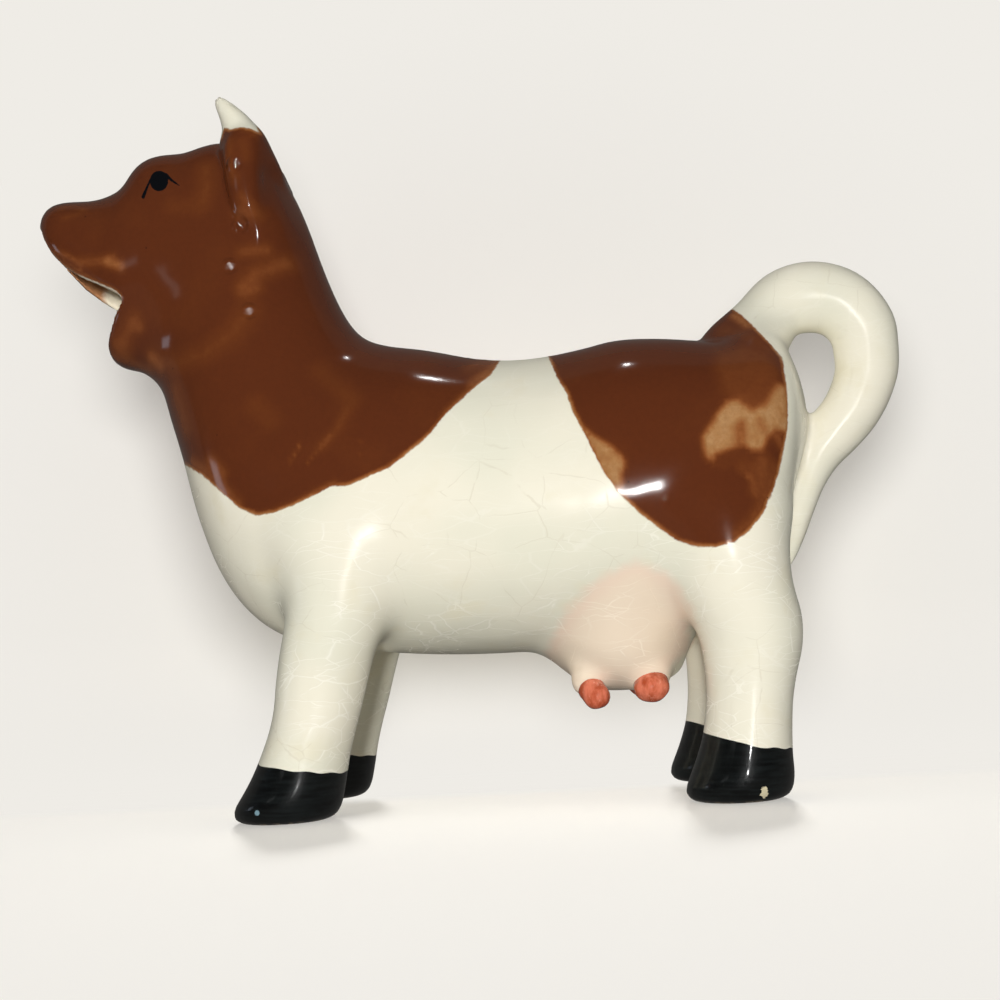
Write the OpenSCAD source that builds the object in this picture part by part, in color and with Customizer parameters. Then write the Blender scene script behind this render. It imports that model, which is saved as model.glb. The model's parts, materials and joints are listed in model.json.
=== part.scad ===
// Cow creamer: a slip-cast earthenware jug in the shape of a standing cow.
// Millimetres, +Z up, the head towards -X, the soles on Z = 0, the middle plane on Y = 0.
// The cow's left side is -Y. Milk goes in at the back and pours out of the mouth.

/* [Barrel] */
// Length of the barrel, from the breast to the back of the rump
barrel_length = 112; // [104:1:120]
// Depth of the barrel, from the back down to the belly
barrel_depth = 60.5; // [56:0.5:65]
// Width of the barrel
barrel_width = 60; // [54:1:66]
// Height of the belly above the table
belly_height = 29.3; // [27:0.1:32]
// Thickness of the cast wall
wall = 3.4; // [2.6:0.1:4]

/* [Neck and head] */
// How far the nose reaches ahead of the withers
head_reach = 68; // [64:1:74]
// How far the forehead rises above the back
head_rise = 49; // [45:1:53]
// Width of the head at the eyes
head_width = 31; // [28:1:34]
// Width of the neck below the jaw
neck_width = 37; // [34:1:40]

/* [Filling hole] */
// Length of the filling hole in the back
filler_length = 28; // [22:1:31]
// Width of the filling hole in the back
filler_width = 21; // [16:1:23]

/* [Legs] */
// Height of a leg, from its sole to its top inside the barrel
leg_height = 60; // [56:1:64]
// Length of a shank, from front to back
shank_length = 17; // [15:0.5:19]
// Width of a shank, from side to side
shank_width = 17; // [15:0.5:19]
// Distance between the middles of a left and a right leg
leg_spacing = 42; // [38:1:44]
// Distance between the middles of the front and the rear shanks
leg_base = 83; // [78:0.5:88]

/* [Hooves] */
// Height of a front hoof, at the front of its shank
front_hoof_height = 10.6; // [9:0.2:14]
// Height of a rear hoof, at the front of its shank
rear_hoof_height = 12.3; // [11:0.1:16]
// Slope of a front hoof's top edge, in degrees
front_hoof_slope = 9; // [4:1:14]
// Slope of a rear hoof's top edge, in degrees
rear_hoof_slope = 13; // [6:1:18]

/* [Tail] */
// How far the tail loop reaches behind the rump
tail_reach = 20; // [18:1:23]
// How far the tail loop rises above the back
tail_rise = 16.3; // [14:0.1:19]
// How far the tail tip hangs below the back
tail_drop = 46.6; // [43:0.2:50]
// Thickness of the tail at the top of its loop
tail_thick = 14.2; // [12.6:0.2:16]
// Width of the tail, from side to side
tail_width = 12.5; // [10:0.5:14]

/* [Udder] */
// Length of the udder, from front to back
udder_length = 30; // [26:1:34]
// Width of the udder
udder_width = 43; // [38:1:46]
// How far the udder hangs below the belly
udder_drop = 8.7; // [7:0.1:10]
// Length of a teat below the udder
teat_length = 2.8; // [2:0.1:4]
// Diameter of a teat
teat_diameter = 6.4; // [5.6:0.1:8]
// Distance between the middles of the left and right teats
teat_spacing = 25; // [22:1:28]
// Distance between the middles of the front and rear teats
teat_pitch = 11.4; // [9.4:0.2:13]

/* [Horns and ears] */
// Height of a horn, from its root to its tip
horn_height = 15; // [13:0.5:17]
// Diameter of a horn at its root
horn_diameter = 11; // [9:0.5:12]
// Distance between the tips of the two horns
horn_spread = 27; // [24:1:30]
// Height of an ear
ear_height = 18.8; // [16:0.2:21]
// Width of an ear, from front to back
ear_width = 8.8; // [7:0.2:10]
// Thickness of an ear
ear_thick = 6; // [5:0.5:7]

/* [Hidden] */

// Colours of the glazes
brown_glaze = [0.36, 0.17, 0.09];
cream_glaze = [0.93, 0.90, 0.80];
pink_glaze = [0.93, 0.78, 0.68];
black_glaze = [0.05, 0.05, 0.05];
terracotta = [0.80, 0.38, 0.25];

// Signs of the two sides
left = -1;
right = 1;

// Sides of the rings that the body, the legs and the small pieces are lofted through
body_sides = 36;
limb_sides = 20;
small_sides = 14;
// Steps that smooth the body and the limbs between two rings of a table
body_steps = 2;
limb_steps = 2;
// Overrun of every cut
overrun = 1;

// Places that the pieces share. The jug is centred between its nose and its tail loop.
back_share = 0.795;
back_length = back_share * barrel_length;
withers_x = (head_reach - back_length - tail_reach) / 2;
rump_x = withers_x + back_length;
back_height = belly_height + barrel_depth;
legs_middle_share = 0.527;
legs_middle_x = rump_x - legs_middle_share * barrel_length;
front_leg_x = legs_middle_x - leg_base / 2;
rear_leg_x = legs_middle_x + leg_base / 2;

// Rings of the barrel, from the rump forwards: top point and under point as shares of the
// barrel's length from the rump and of its depth from the belly, the half width as a share
// of half the barrel's width, how much wider the ring is below its middle, and its roundness
barrel_ring_shares = [
    [0.000, 0.772, 0.000, 0.673, 0.13, 0.00, 1.00],
    [0.019, 0.894, 0.016, 0.590, 0.44, 0.00, 1.00],
    [0.040, 0.970, 0.037, 0.483, 0.67, 0.00, 0.97],
    [0.085, 1.008, 0.064, 0.326, 0.84, 0.02, 0.94],
    [0.161, 1.003, 0.125, 0.144, 0.95, 0.03, 0.92],
    [0.259, 1.023, 0.232, 0.053, 0.99, 0.04, 0.91],
    [0.339, 1.026, 0.348, 0.017, 1.00, 0.04, 0.91],
    [0.411, 1.000, 0.438, 0.002, 1.00, 0.04, 0.91],
    [0.509, 0.988, 0.545, -0.003, 1.00, 0.04, 0.91],
    [0.607, 1.002, 0.652, 0.000, 0.99, 0.04, 0.92],
    [0.688, 1.035, 0.759, 0.015, 0.98, 0.04, 0.92],
    [0.750, 1.055, 0.857, 0.041, 0.96, 0.05, 0.92]];
// Rings of the neck, as shares of the head's reach ahead of the withers, of its rise above
// the back, and of half the neck's width
neck_ring_shares = [
    [0.003, 0.110, 0.250, -1.143, 1.48, 0.07, 0.93],
    [0.056, 0.198, 0.367, -1.041, 1.37, 0.10, 0.94],
    [0.100, 0.331, 0.456, -0.873, 1.24, 0.14, 0.95],
    [0.138, 0.484, 0.521, -0.639, 1.12, 0.16, 0.96],
    [0.170, 0.627, 0.567, -0.384, 1.02, 0.13, 0.97],
    [0.215, 0.780, 0.603, -0.210, 0.94, 0.06, 0.97],
    [0.287, 0.925, 0.635, -0.057, 0.89, 0.00, 0.96]];
// Rings of the head, in the same shares, with the half width as a share of half the head's
head_ring_shares = [
    [0.404, 1.004, 0.694, 0.028, 1.02, -0.05, 0.95],
    [0.536, 0.961, 0.762, 0.064, 0.98, -0.08, 0.94],
    [0.639, 0.914, 0.798, 0.160, 0.91, -0.08, 0.94],
    [0.706, 0.833, 0.841, 0.269, 0.83, -0.05, 0.94],
    [0.801, 0.784, 0.891, 0.371, 0.75, 0.00, 0.92],
    [0.904, 0.784, 0.946, 0.469, 0.66, 0.00, 0.90],
    [0.961, 0.771, 0.980, 0.547, 0.49, 0.00, 0.93],
    [0.997, 0.710, 1.000, 0.629, 0.19, 0.00, 1.00]];
// Rings at each end that the milk space stops short of
cavity_end_rings = 2;

// Outline of the cut that opens the mouth, seen from the side: the corner of the mouth, the
// upper lip to the nose, the open side, and the lower lip back up to the corner
mouth_shares = [
    [0.704, 0.287], [0.714, 0.304], [0.732, 0.324], [0.760, 0.345], [0.797, 0.376],
    [0.845, 0.414], [0.897, 0.469], [0.938, 0.533], [0.962, 0.596], [0.979, 0.659],
    [1.103, 0.700], [1.103, -0.037], [0.838, 0.004], [0.792, 0.090], [0.780, 0.139],
    [0.760, 0.180], [0.732, 0.233], [0.708, 0.267]];

// Middle of the filling hole, as a share of the barrel's length from the rump
filler_share = 0.520;

// Rings of a front leg from the sole up: height as a share of the leg's, the edge towards the
// toe and the edge towards the heel as shares of the shank's length from its middle, and the
// half width as a share of the shank's width
front_leg_shares = [
    [0.000, 0.782, 0.171, 0.459], [0.015, 0.865, 0.271, 0.541], [0.043, 0.859, 0.329, 0.582],
    [0.083, 0.771, 0.365, 0.582], [0.133, 0.665, 0.400, 0.553], [0.192, 0.565, 0.441, 0.529],
    [0.267, 0.459, 0.512, 0.512], [0.342, 0.388, 0.594, 0.500], [0.425, 0.353, 0.676, 0.500],
    [0.517, 0.300, 0.776, 0.518], [0.633, 0.218, 0.941, 0.541], [0.767, 0.194, 1.059, 0.541],
    [0.883, 0.265, 1.088, 0.494], [0.967, 0.206, 0.912, 0.382], [1.000, 0.029, 0.676, 0.206]];
// Rings of a rear leg, in the same shares
rear_leg_shares = [
    [0.000, 0.659, 0.259, 0.459], [0.015, 0.747, 0.371, 0.541], [0.043, 0.753, 0.418, 0.582],
    [0.083, 0.694, 0.435, 0.582], [0.133, 0.618, 0.429, 0.559], [0.208, 0.529, 0.441, 0.535],
    [0.297, 0.482, 0.471, 0.518], [0.375, 0.471, 0.529, 0.512], [0.450, 0.482, 0.606, 0.524],
    [0.517, 0.529, 0.635, 0.541], [0.575, 0.618, 0.624, 0.565], [0.667, 0.735, 0.559, 0.600],
    [0.783, 0.824, 0.547, 0.618], [0.900, 0.794, 0.559, 0.553], [0.967, 0.618, 0.382, 0.412],
    [1.000, 0.382, 0.147, 0.235]];

// Middle line of the tail from its root: shares of its reach behind the rump, shares of its
// rise above the back or, below it, of its drop, and the half thickness as a share of the
// thickness and the half width as a share of the width
tail_shares = [
    [-0.675, -0.017, 0.394, 0.430], [-0.425, 0.233, 0.394, 0.440], [-0.150, 0.515, 0.444, 0.480],
    [0.140, 0.564, 0.500, 0.500], [0.430, 0.454, 0.500, 0.500], [0.620, 0.184, 0.486, 0.490],
    [0.673, -0.075, 0.461, 0.480], [0.630, -0.193, 0.437, 0.460], [0.495, -0.309, 0.415, 0.440],
    [0.310, -0.406, 0.387, 0.410], [0.130, -0.498, 0.331, 0.370], [-0.005, -0.612, 0.254, 0.310],
    [-0.105, -0.734, 0.204, 0.250], [-0.190, -0.850, 0.162, 0.200], [-0.260, -0.953, 0.099, 0.120],
    [-0.290, -1.000, 0.050, 0.060]];

// Rings of the udder from below: height as a share of its drop below the belly, front and
// rear edges as shares of its length from its middle, and half width as a share of its width
udder_x_share = 0.362;
udder_shares = [
    [-1.00, 0.083, 0.117, 0.093], [-0.92, 0.200, 0.233, 0.233], [-0.67, 0.317, 0.383, 0.360],
    [-0.32, 0.423, 0.443, 0.430], [0.14, 0.490, 0.490, 0.477], [0.77, 0.467, 0.510, 0.512],
    [1.46, 0.317, 0.433, 0.525], [1.98, 0.083, 0.317, 0.460]];

// Rings of a teat from its tip: height, lean towards the head and half width
teat_shares = [
    [-1.00, -0.10, 0.13], [-0.86, -0.08, 0.28], [-0.34, -0.04, 0.42], [0.31, 0.00, 0.48],
    [1.34, 0.06, 0.46]];

// Rings of a horn from its root: height, reach ahead of the root, spread and half thickness
horn_root_x_share = 0.309;
horn_root_z_share = 0.820;
horn_root_y_share = 0.620;
horn_shares = [
    [0.00, 0.000, 0.00, 0.500], [0.20, 0.027, 0.25, 0.464], [0.40, 0.060, 0.48, 0.409],
    [0.53, 0.100, 0.62, 0.336], [0.71, 0.193, 0.80, 0.264], [0.87, 0.307, 0.92, 0.173],
    [0.96, 0.360, 0.98, 0.090], [1.00, 0.387, 1.00, 0.040]];

// Rings of an ear from its lower end: height, front edge, rear edge and half thickness
ear_x_share = 0.314;
ear_z_share = 0.575;
ear_y_share = 0.980;
ear_shares = [
    [0.00, 0.10, 0.10, 0.10], [0.08, 0.26, 0.26, 0.30], [0.30, 0.40, 0.42, 0.42],
    [0.60, 0.48, 0.48, 0.50], [0.82, 0.46, 0.46, 0.48], [0.95, 0.30, 0.34, 0.34],
    [1.00, 0.10, 0.12, 0.12]];

// A row between two rows of a table, on a smooth curve through their neighbours
function between(a, b, c, d, t) =
    (2 * b + (c - a) * t + (2 * a - 5 * b + 4 * c - d) * t * t
     + (3 * b - a - 3 * c + d) * t * t * t) / 2;

// A table with rows added between its own, so that it runs smoothly
function smooth(rows, steps) = [
    for (i = [0 : len(rows) - 2], k = [0 : steps - 1])
        between(rows[max(i - 1, 0)], rows[i], rows[i + 1], rows[min(i + 2, len(rows) - 1)], k / steps),
    rows[len(rows) - 1]];

function barrel_at(along, up) = [rump_x - along * barrel_length, belly_height + up * barrel_depth];
function head_at(along, up) = [withers_x - along * head_reach, back_height + up * head_rise];

// Places and sizes of the body's rings: top, under point, half width, fullness and roundness
function barrel_row(s) = concat(barrel_at(s[0], s[1]), barrel_at(s[2], s[3]),
                                [s[4] * barrel_width / 2, s[5], s[6]]);
function neck_row(s, width) = concat(head_at(s[0], s[1]), head_at(s[2], s[3]),
                                     [s[4] * width / 2, s[5], s[6]]);
body_rows = smooth(concat([for (s = barrel_ring_shares) barrel_row(s)],
                          [for (s = neck_ring_shares) neck_row(s, neck_width)],
                          [for (s = head_ring_shares) neck_row(s, head_width)]), body_steps);

// A power that keeps the sign, for rings between an ellipse and a box
function rounded(value, roundness) = sign(value) * pow(abs(value), roundness);

// One ring of the body, set in from its outer face by a depth
function body_ring(row, inset) =
    let (top = [row[0], row[1]], under = [row[2], row[3]], down = (under - top) / norm(under - top),
         high = top + down * inset, low = under - down * inset)
    [for (k = [0 : body_sides - 1])
        let (turn = 360 * k / body_sides, up = rounded(cos(turn), row[6]),
             out = rounded(sin(turn), row[6]), place = (high + low) / 2 + (high - low) / 2 * up)
        [place[0], (row[4] - inset) * out * (1 - row[5] * up), place[1]]];

// A ring that lies level, between a front and a rear edge
function level_ring(front, rear, y, half_width, z, sides) = [
    for (k = [0 : sides - 1])
        let (turn = 360 * k / sides)
        [(front + rear) / 2 + (rear - front) / 2 * cos(turn), y + half_width * sin(turn), z]];

// A ring square to the way from one place to another, both given as x and z
function round_ring(before, place, after, y, half_thick, half_width, sides) =
    let (way = (after - before) / norm(after - before), normal = [-way[1], way[0]])
    [for (k = [0 : sides - 1])
        let (turn = 360 * k / sides, point = place + normal * half_thick * cos(turn))
        [point[0], y + half_width * sin(turn), point[1]]];

// A closed solid through a list of rings
module loft(rings) {
    sides = len(rings[0]);
    last = (len(rings) - 1) * sides;
    polyhedron(
        points = [for (ring = rings, point = ring) point],
        faces = concat(
            [[for (k = [0 : sides - 1]) k]],
            [for (i = [0 : len(rings) - 2], k = [0 : sides - 1])
                let (a = i * sides + k, b = i * sides + (k + 1) % sides)
                [a, a + sides, b + sides]],
            [for (i = [0 : len(rings) - 2], k = [0 : sides - 1])
                let (a = i * sides + k, b = i * sides + (k + 1) % sides)
                [a, b + sides, b]],
            [[for (k = [0 : sides - 1]) last + sides - 1 - k]]));
}

// The body's outer form, which the limbs and trims are seated on
module body_form() {
    loft([for (row = body_rows) body_ring(row, 0)]);
}

// The milk space, one wall inside the outer form
module milk_space() {
    ends = cavity_end_rings * body_steps;
    loft([for (i = [ends : len(body_rows) - 1 - ends]) body_ring(body_rows[i], wall)]);
}

// The cut that leaves the upper muzzle as a hood over the lower lip
module mouth_cut() {
    rotate([90, 0, 0])
        linear_extrude(height = head_width + 2 * overrun, center = true)
            polygon([for (s = mouth_shares) head_at(s[0], s[1])]);
}

// The filling hole in the back
module filler_cut() {
    translate([barrel_at(filler_share, 0)[0], 0, belly_height + barrel_depth / 2])
        linear_extrude(height = barrel_depth)
            scale([filler_length, filler_width])
                circle(d = 1, $fn = 48);
}

module body_shell() {
    color(brown_glaze)
        difference() {
            body_form();
            milk_space();
            mouth_cut();
            filler_cut();
        }
}

// A leg and its hoof in one form, from the sole to its top inside the barrel
module leg_form(table, x, side) {
    loft([for (s = smooth(table, limb_steps))
        level_ring(x - s[1] * shank_length, x + s[2] * shank_length, side * leg_spacing / 2,
                   s[3] * shank_width, s[0] * leg_height, limb_sides)]);
}

// The space below the sloping top edge of a hoof
module hoof_space(x, height, slope) {
    translate([x - shank_length / 2, 0, height])
        rotate([0, slope, 0])
            translate([-shank_length, -leg_spacing, -leg_height])
                cube([3 * shank_length, 2 * leg_spacing, leg_height]);
}

module front_leg(side) {
    color(cream_glaze)
        difference() {
            leg_form(front_leg_shares, front_leg_x, side);
            hoof_space(front_leg_x, front_hoof_height, front_hoof_slope);
            body_form();
        }
}

module rear_leg(side) {
    color(cream_glaze)
        difference() {
            leg_form(rear_leg_shares, rear_leg_x, side);
            hoof_space(rear_leg_x, rear_hoof_height, rear_hoof_slope);
            body_form();
        }
}

module front_hoof(side) {
    color(black_glaze)
        intersection() {
            leg_form(front_leg_shares, front_leg_x, side);
            hoof_space(front_leg_x, front_hoof_height, front_hoof_slope);
        }
}

module rear_hoof(side) {
    color(black_glaze)
        intersection() {
            leg_form(rear_leg_shares, rear_leg_x, side);
            hoof_space(rear_leg_x, rear_hoof_height, rear_hoof_slope);
        }
}

// The tail, looped over behind the rump to make the handle
module tail_handle() {
    rows = smooth(tail_shares, limb_steps);
    places = [for (s = rows) [rump_x + s[0] * tail_reach,
                              back_height + s[1] * (s[1] > 0 ? tail_rise : tail_drop)]];
    color(cream_glaze)
        difference() {
            loft([for (i = [0 : len(rows) - 1])
                round_ring(places[max(i - 1, 0)], places[i], places[min(i + 1, len(rows) - 1)], 0,
                           rows[i][2] * tail_thick, rows[i][3] * tail_width, limb_sides)]);
            body_form();
        }
}

udder_x = rump_x - udder_x_share * barrel_length;

module udder_form() {
    loft([for (s = smooth(udder_shares, limb_steps))
        level_ring(udder_x - s[1] * udder_length, udder_x + s[2] * udder_length, 0,
                   s[3] * udder_width, belly_height + s[0] * udder_drop, limb_sides)]);
}

module udder() {
    color(pink_glaze)
        difference() {
            udder_form();
            body_form();
        }
}

// A teat, seated on the udder; the row is 1 for a rear teat and -1 for a front one
module teat(row, side) {
    x = udder_x + row * teat_pitch / 2;
    color(terracotta)
        difference() {
            loft([for (s = teat_shares)
                level_ring(x - (s[1] + s[2]) * teat_diameter, x - (s[1] - s[2]) * teat_diameter,
                           side * teat_spacing / 2, s[2] * teat_diameter,
                           belly_height - udder_drop + s[0] * teat_length, small_sides)]);
            udder_form();
        }
}

module horn_form(side) {
    root = head_at(horn_root_x_share, horn_root_z_share);
    root_y = horn_root_y_share * head_width / 2;
    rows = smooth(horn_shares, limb_steps);
    loft([for (s = rows)
        level_ring(root[0] - s[1] * horn_height - s[3] * horn_diameter,
                   root[0] - s[1] * horn_height + s[3] * horn_diameter,
                   side * (root_y + s[2] * (horn_spread / 2 - root_y)),
                   s[3] * horn_diameter, root[1] + s[0] * horn_height, small_sides)]);
}

module horn(side) {
    color(cream_glaze)
        difference() {
            horn_form(side);
            body_form();
        }
}

// An ear, upright against the head and the root of the horn
module ear(side) {
    root = head_at(ear_x_share, ear_z_share);
    y = side * ear_y_share * head_width / 2;
    color(brown_glaze)
        difference() {
            loft([for (s = smooth(ear_shares, limb_steps))
                level_ring(root[0] - s[1] * ear_width, root[0] + s[2] * ear_width, y,
                           s[3] * ear_thick, root[1] + s[0] * ear_height, small_sides)]);
            horn_form(side);
            body_form();
        }
}

body_shell();
tail_handle();
front_leg(left);  // front_left_leg
front_leg(right);  // front_right_leg
rear_leg(left);  // rear_left_leg
rear_leg(right);  // rear_right_leg
front_hoof(left);  // front_left_hoof
front_hoof(right);  // front_right_hoof
rear_hoof(left);  // rear_left_hoof
rear_hoof(right);  // rear_right_hoof
udder();
teat(-1, left);  // front_left_teat
teat(-1, right);  // front_right_teat
teat(1, left);  // rear_left_teat
teat(1, right);  // rear_right_teat
horn(left);  // left_horn
horn(right);  // right_horn
ear(left);  // left_ear
ear(right);  // right_ear
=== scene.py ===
# %% [markdown]
# # A cow creamer in glazed earthenware
# The jug is one hollow casting: barrel, neck and head hold the milk, the legs, the udder, the
# ears, the horns and the looped tail were luted on wet, and one gloss glaze runs over it all.
# So the skin is built as one smooth surface, and only what is painted as a thing of its own,
# the black hooves and the terracotta teats, is cut from it or set on it as pieces.

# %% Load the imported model
import json
import math
import bmesh
import bpy
import numpy as np
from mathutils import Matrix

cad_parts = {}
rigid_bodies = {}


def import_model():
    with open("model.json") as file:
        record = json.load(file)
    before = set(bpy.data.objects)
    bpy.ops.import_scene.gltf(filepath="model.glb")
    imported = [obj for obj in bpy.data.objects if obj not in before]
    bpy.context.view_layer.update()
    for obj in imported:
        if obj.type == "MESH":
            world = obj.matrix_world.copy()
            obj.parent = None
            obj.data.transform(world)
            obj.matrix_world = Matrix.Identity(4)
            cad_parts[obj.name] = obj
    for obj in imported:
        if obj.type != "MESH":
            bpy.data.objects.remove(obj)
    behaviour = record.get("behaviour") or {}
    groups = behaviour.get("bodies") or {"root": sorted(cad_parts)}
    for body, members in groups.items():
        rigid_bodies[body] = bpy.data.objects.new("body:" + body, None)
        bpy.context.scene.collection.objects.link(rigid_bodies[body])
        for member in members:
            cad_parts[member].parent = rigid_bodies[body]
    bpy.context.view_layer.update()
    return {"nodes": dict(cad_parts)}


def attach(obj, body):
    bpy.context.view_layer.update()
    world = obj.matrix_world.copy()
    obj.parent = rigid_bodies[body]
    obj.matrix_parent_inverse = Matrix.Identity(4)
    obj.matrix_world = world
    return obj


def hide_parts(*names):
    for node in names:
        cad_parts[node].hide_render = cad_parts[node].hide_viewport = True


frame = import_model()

import openvdb
from mathutils import Matrix, Vector
from mathutils.bvhtree import BVHTree

mm = 0.001
left, right = -1, 1


def placed(name, data):
    """A mesh, a lamp or a camera as an object in the scene."""
    made = bpy.data.objects.new(name, data)
    bpy.context.scene.collection.objects.link(made)
    return made


def grouped(name, pieces):
    """A collection that a lamp can be tied to."""
    group = bpy.data.collections.new(name)
    bpy.context.scene.collection.children.link(group)
    for piece in pieces:
        group.objects.link(piece)
    return group


def baked(piece):
    """The mesh that a piece's modifiers make."""
    seen_as = piece.evaluated_get(bpy.context.evaluated_depsgraph_get())
    return bpy.data.meshes.new_from_object(seen_as)


def name_of(end, side, thing):
    return f"{end}_{'left' if side == left else 'right'}_{thing}"


# %% [markdown]
# ## The camera
# The picture was taken from 300 mm away with the camera close to the table, a little behind
# the middle of the cow and turned slightly up. The camera is made first, because the painter's
# outlines further down are placed by where they lie in the picture.

# %% Camera
CAMERA_AT = Vector((17.9, -300.0, 30.4)) * mm
CAMERA_AIM = Vector((5.4, 0.0, 60.4)) * mm
CAMERA_ROLL = math.radians(-2.95)
HALF_VIEW = math.radians(18.79)
SENSOR = 36
MIDDLE = 500  # of the picture, which is 1000 points wide and high

ahead = (CAMERA_AIM - CAMERA_AT).normalized()
level = ahead.cross(Vector((0, 0, 1))).normalized()
above = level.cross(ahead)
across = level * math.cos(CAMERA_ROLL) + above * math.sin(CAMERA_ROLL)
upwards = above * math.cos(CAMERA_ROLL) - level * math.sin(CAMERA_ROLL)

lens = bpy.data.cameras.new("camera")
lens.sensor_width = SENSOR
lens.lens = SENSOR / 2 / math.tan(HALF_VIEW)
camera = placed("camera", lens)
turn = Matrix((across, upwards, -ahead)).transposed().to_4x4()
camera.matrix_world = Matrix.Translation(CAMERA_AT) @ turn
bpy.context.scene.camera = camera
print("lens", round(lens.lens, 1), "mm")


def sight(u, v):
    """The direction from the camera to a point of the picture."""
    spread = math.tan(HALF_VIEW) / MIDDLE
    way = ahead + across * (u - MIDDLE) * spread - upwards * (v - MIDDLE) * spread
    return way.normalized()


# %% [markdown]
# ## The forms under the glaze
# Barrel, neck and head are one loft: each row gives a ring's top and under point as shares of
# the jug's own lengths, its half width, how much fuller it is below, and its roundness. A smooth
# curve through the rows adds rings between them, which is how a modeller would section a cow.

# %% Lengths and rings of the body
# All in mm
barrel_length, barrel_depth, barrel_width, belly_height, wall = 112, 60.5, 60, 29.3, 3.4
head_reach, head_rise, head_width, neck_width = 68, 49, 31, 37
tail_reach, tail_rise, tail_drop, tail_thick, tail_width = 20, 16.3, 46.6, 14.2, 12.5
leg_height, shank_length, shank_width, leg_spacing, leg_base = 60, 17, 17, 42, 83
udder_length, udder_width, udder_drop = 30, 43, 8.7
horn_height, horn_diameter, horn_spread = 15, 11, 27
ear_height, ear_width, ear_thick = 18.8, 8.8, 6

back_length = 0.795 * barrel_length
withers_x = (head_reach - back_length - tail_reach) / 2
rump_x = withers_x + back_length
back_height = belly_height + barrel_depth
legs_middle_x = rump_x - 0.527 * barrel_length
front_leg_x, rear_leg_x = legs_middle_x - leg_base / 2, legs_middle_x + leg_base / 2
udder_x = rump_x - 0.362 * barrel_length


def shares(*rows):
    """Rows that are written in thousandths of the lengths above."""
    return [tuple(v / 1000 for v in row) for row in rows]


# Top point, under point, half width, fullness below and roundness of each ring
BARREL = shares(
    (0, 772, 0, 673, 130, 0, 1000), (19, 894, 16, 590, 440, 0, 1000),
    (40, 970, 37, 483, 670, 0, 970), (85, 1008, 64, 326, 840, 20, 940),
    (161, 1003, 125, 144, 950, 30, 920), (259, 1023, 232, 53, 990, 40, 910),
    (339, 1026, 348, 17, 1000, 40, 910), (411, 1000, 438, 2, 1000, 40, 910),
    (509, 988, 545, -3, 1000, 40, 910), (607, 1002, 652, 0, 990, 40, 920),
    (688, 1035, 759, 15, 980, 40, 920), (750, 1055, 857, 41, 960, 50, 920))
NECK = shares(
    (3, 110, 250, -1143, 1480, 70, 930), (56, 198, 367, -1041, 1370, 100, 940),
    (100, 331, 456, -873, 1240, 140, 950), (138, 484, 521, -639, 1120, 160, 960),
    (170, 627, 567, -384, 1020, 130, 970), (215, 780, 603, -210, 940, 60, 970),
    (287, 925, 635, -57, 890, 0, 960))
HEAD = shares(
    (404, 1004, 694, 28, 1020, -50, 950), (536, 961, 762, 64, 980, -80, 940),
    (639, 914, 798, 160, 910, -80, 940), (706, 833, 841, 269, 830, -50, 940),
    (801, 784, 891, 371, 750, 0, 920), (904, 784, 946, 469, 660, 0, 900),
    (961, 771, 980, 547, 490, 0, 930), (997, 710, 1000, 629, 190, 0, 1000))


def barrel_at(along, up):
    """The side-view place of shares of the barrel's length and depth."""
    return rump_x - along * barrel_length, belly_height + up * barrel_depth


def head_at(along, up):
    """The side-view place of shares of the head's reach and rise."""
    return withers_x - along * head_reach, back_height + up * head_rise


def smooth(rows, steps):
    """Rows added between the rows of a table, on a curve through their neighbours."""
    rows = np.array(rows, float)
    made = []
    for i in range(len(rows) - 1):
        a, b, c, d = rows[max(i - 1, 0)], rows[i], rows[i + 1], rows[min(i + 2, len(rows) - 1)]
        for t in np.arange(steps) / steps:
            made.append((2 * b + (c - a) * t + (2 * a - 5 * b + 4 * c - d) * t**2
                         + (3 * b - a - 3 * c + d) * t**3) / 2)
    return np.array(made + [rows[-1]])


body_rows = smooth([(*place(a, b), *place(c, d), half * width / 2, e, f)
                    for table, place, width in (
                        (BARREL, barrel_at, barrel_width), (NECK, head_at, neck_width),
                        (HEAD, head_at, head_width)) for a, b, c, d, half, e, f in table], 6)
print("rings of the body:", len(body_rows))


def body_ring(row, sides=72):
    top, under, half, fullness, roundness = row[0:2], row[2:4], row[4], row[5], row[6]
    turn = np.arange(sides) * 2 * np.pi / sides
    up = np.sign(np.cos(turn)) * np.abs(np.cos(turn)) ** roundness
    out = np.sign(np.sin(turn)) * np.abs(np.sin(turn)) ** roundness
    place = (top + under) / 2 + np.outer(up, (top - under) / 2)
    return np.stack([place[:, 0], half * out * (1 - fullness * up), place[:, 1]], 1)


# %% [markdown]
# The legs, the udder, the horns and the ears are lofts of level rings, each between a front and
# a rear edge. The tail is a loft of rings that stand square to its middle line.

# %% Rings of the legs, udder, horns, ears and tail
# Height, front edge, rear edge and half width of each ring
FRONT_LEG = shares(
    (0, 782, 171, 459), (15, 865, 271, 541), (43, 859, 329, 582), (83, 771, 365, 582),
    (133, 665, 400, 553), (192, 565, 441, 529), (267, 459, 512, 512), (342, 388, 594, 500),
    (425, 353, 676, 500), (517, 300, 776, 518), (633, 218, 941, 541), (767, 194, 1059, 541),
    (883, 265, 1088, 494), (967, 206, 912, 382), (1000, 29, 676, 206))
REAR_LEG = shares(
    (0, 659, 259, 459), (15, 747, 371, 541), (43, 753, 418, 582), (83, 694, 435, 582),
    (133, 618, 429, 559), (208, 529, 441, 535), (297, 482, 471, 518), (375, 471, 529, 512),
    (450, 482, 606, 524), (517, 529, 635, 541), (575, 618, 624, 565), (667, 735, 559, 600),
    (783, 824, 547, 618), (900, 794, 559, 553), (967, 618, 382, 412), (1000, 382, 147, 235))
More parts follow.
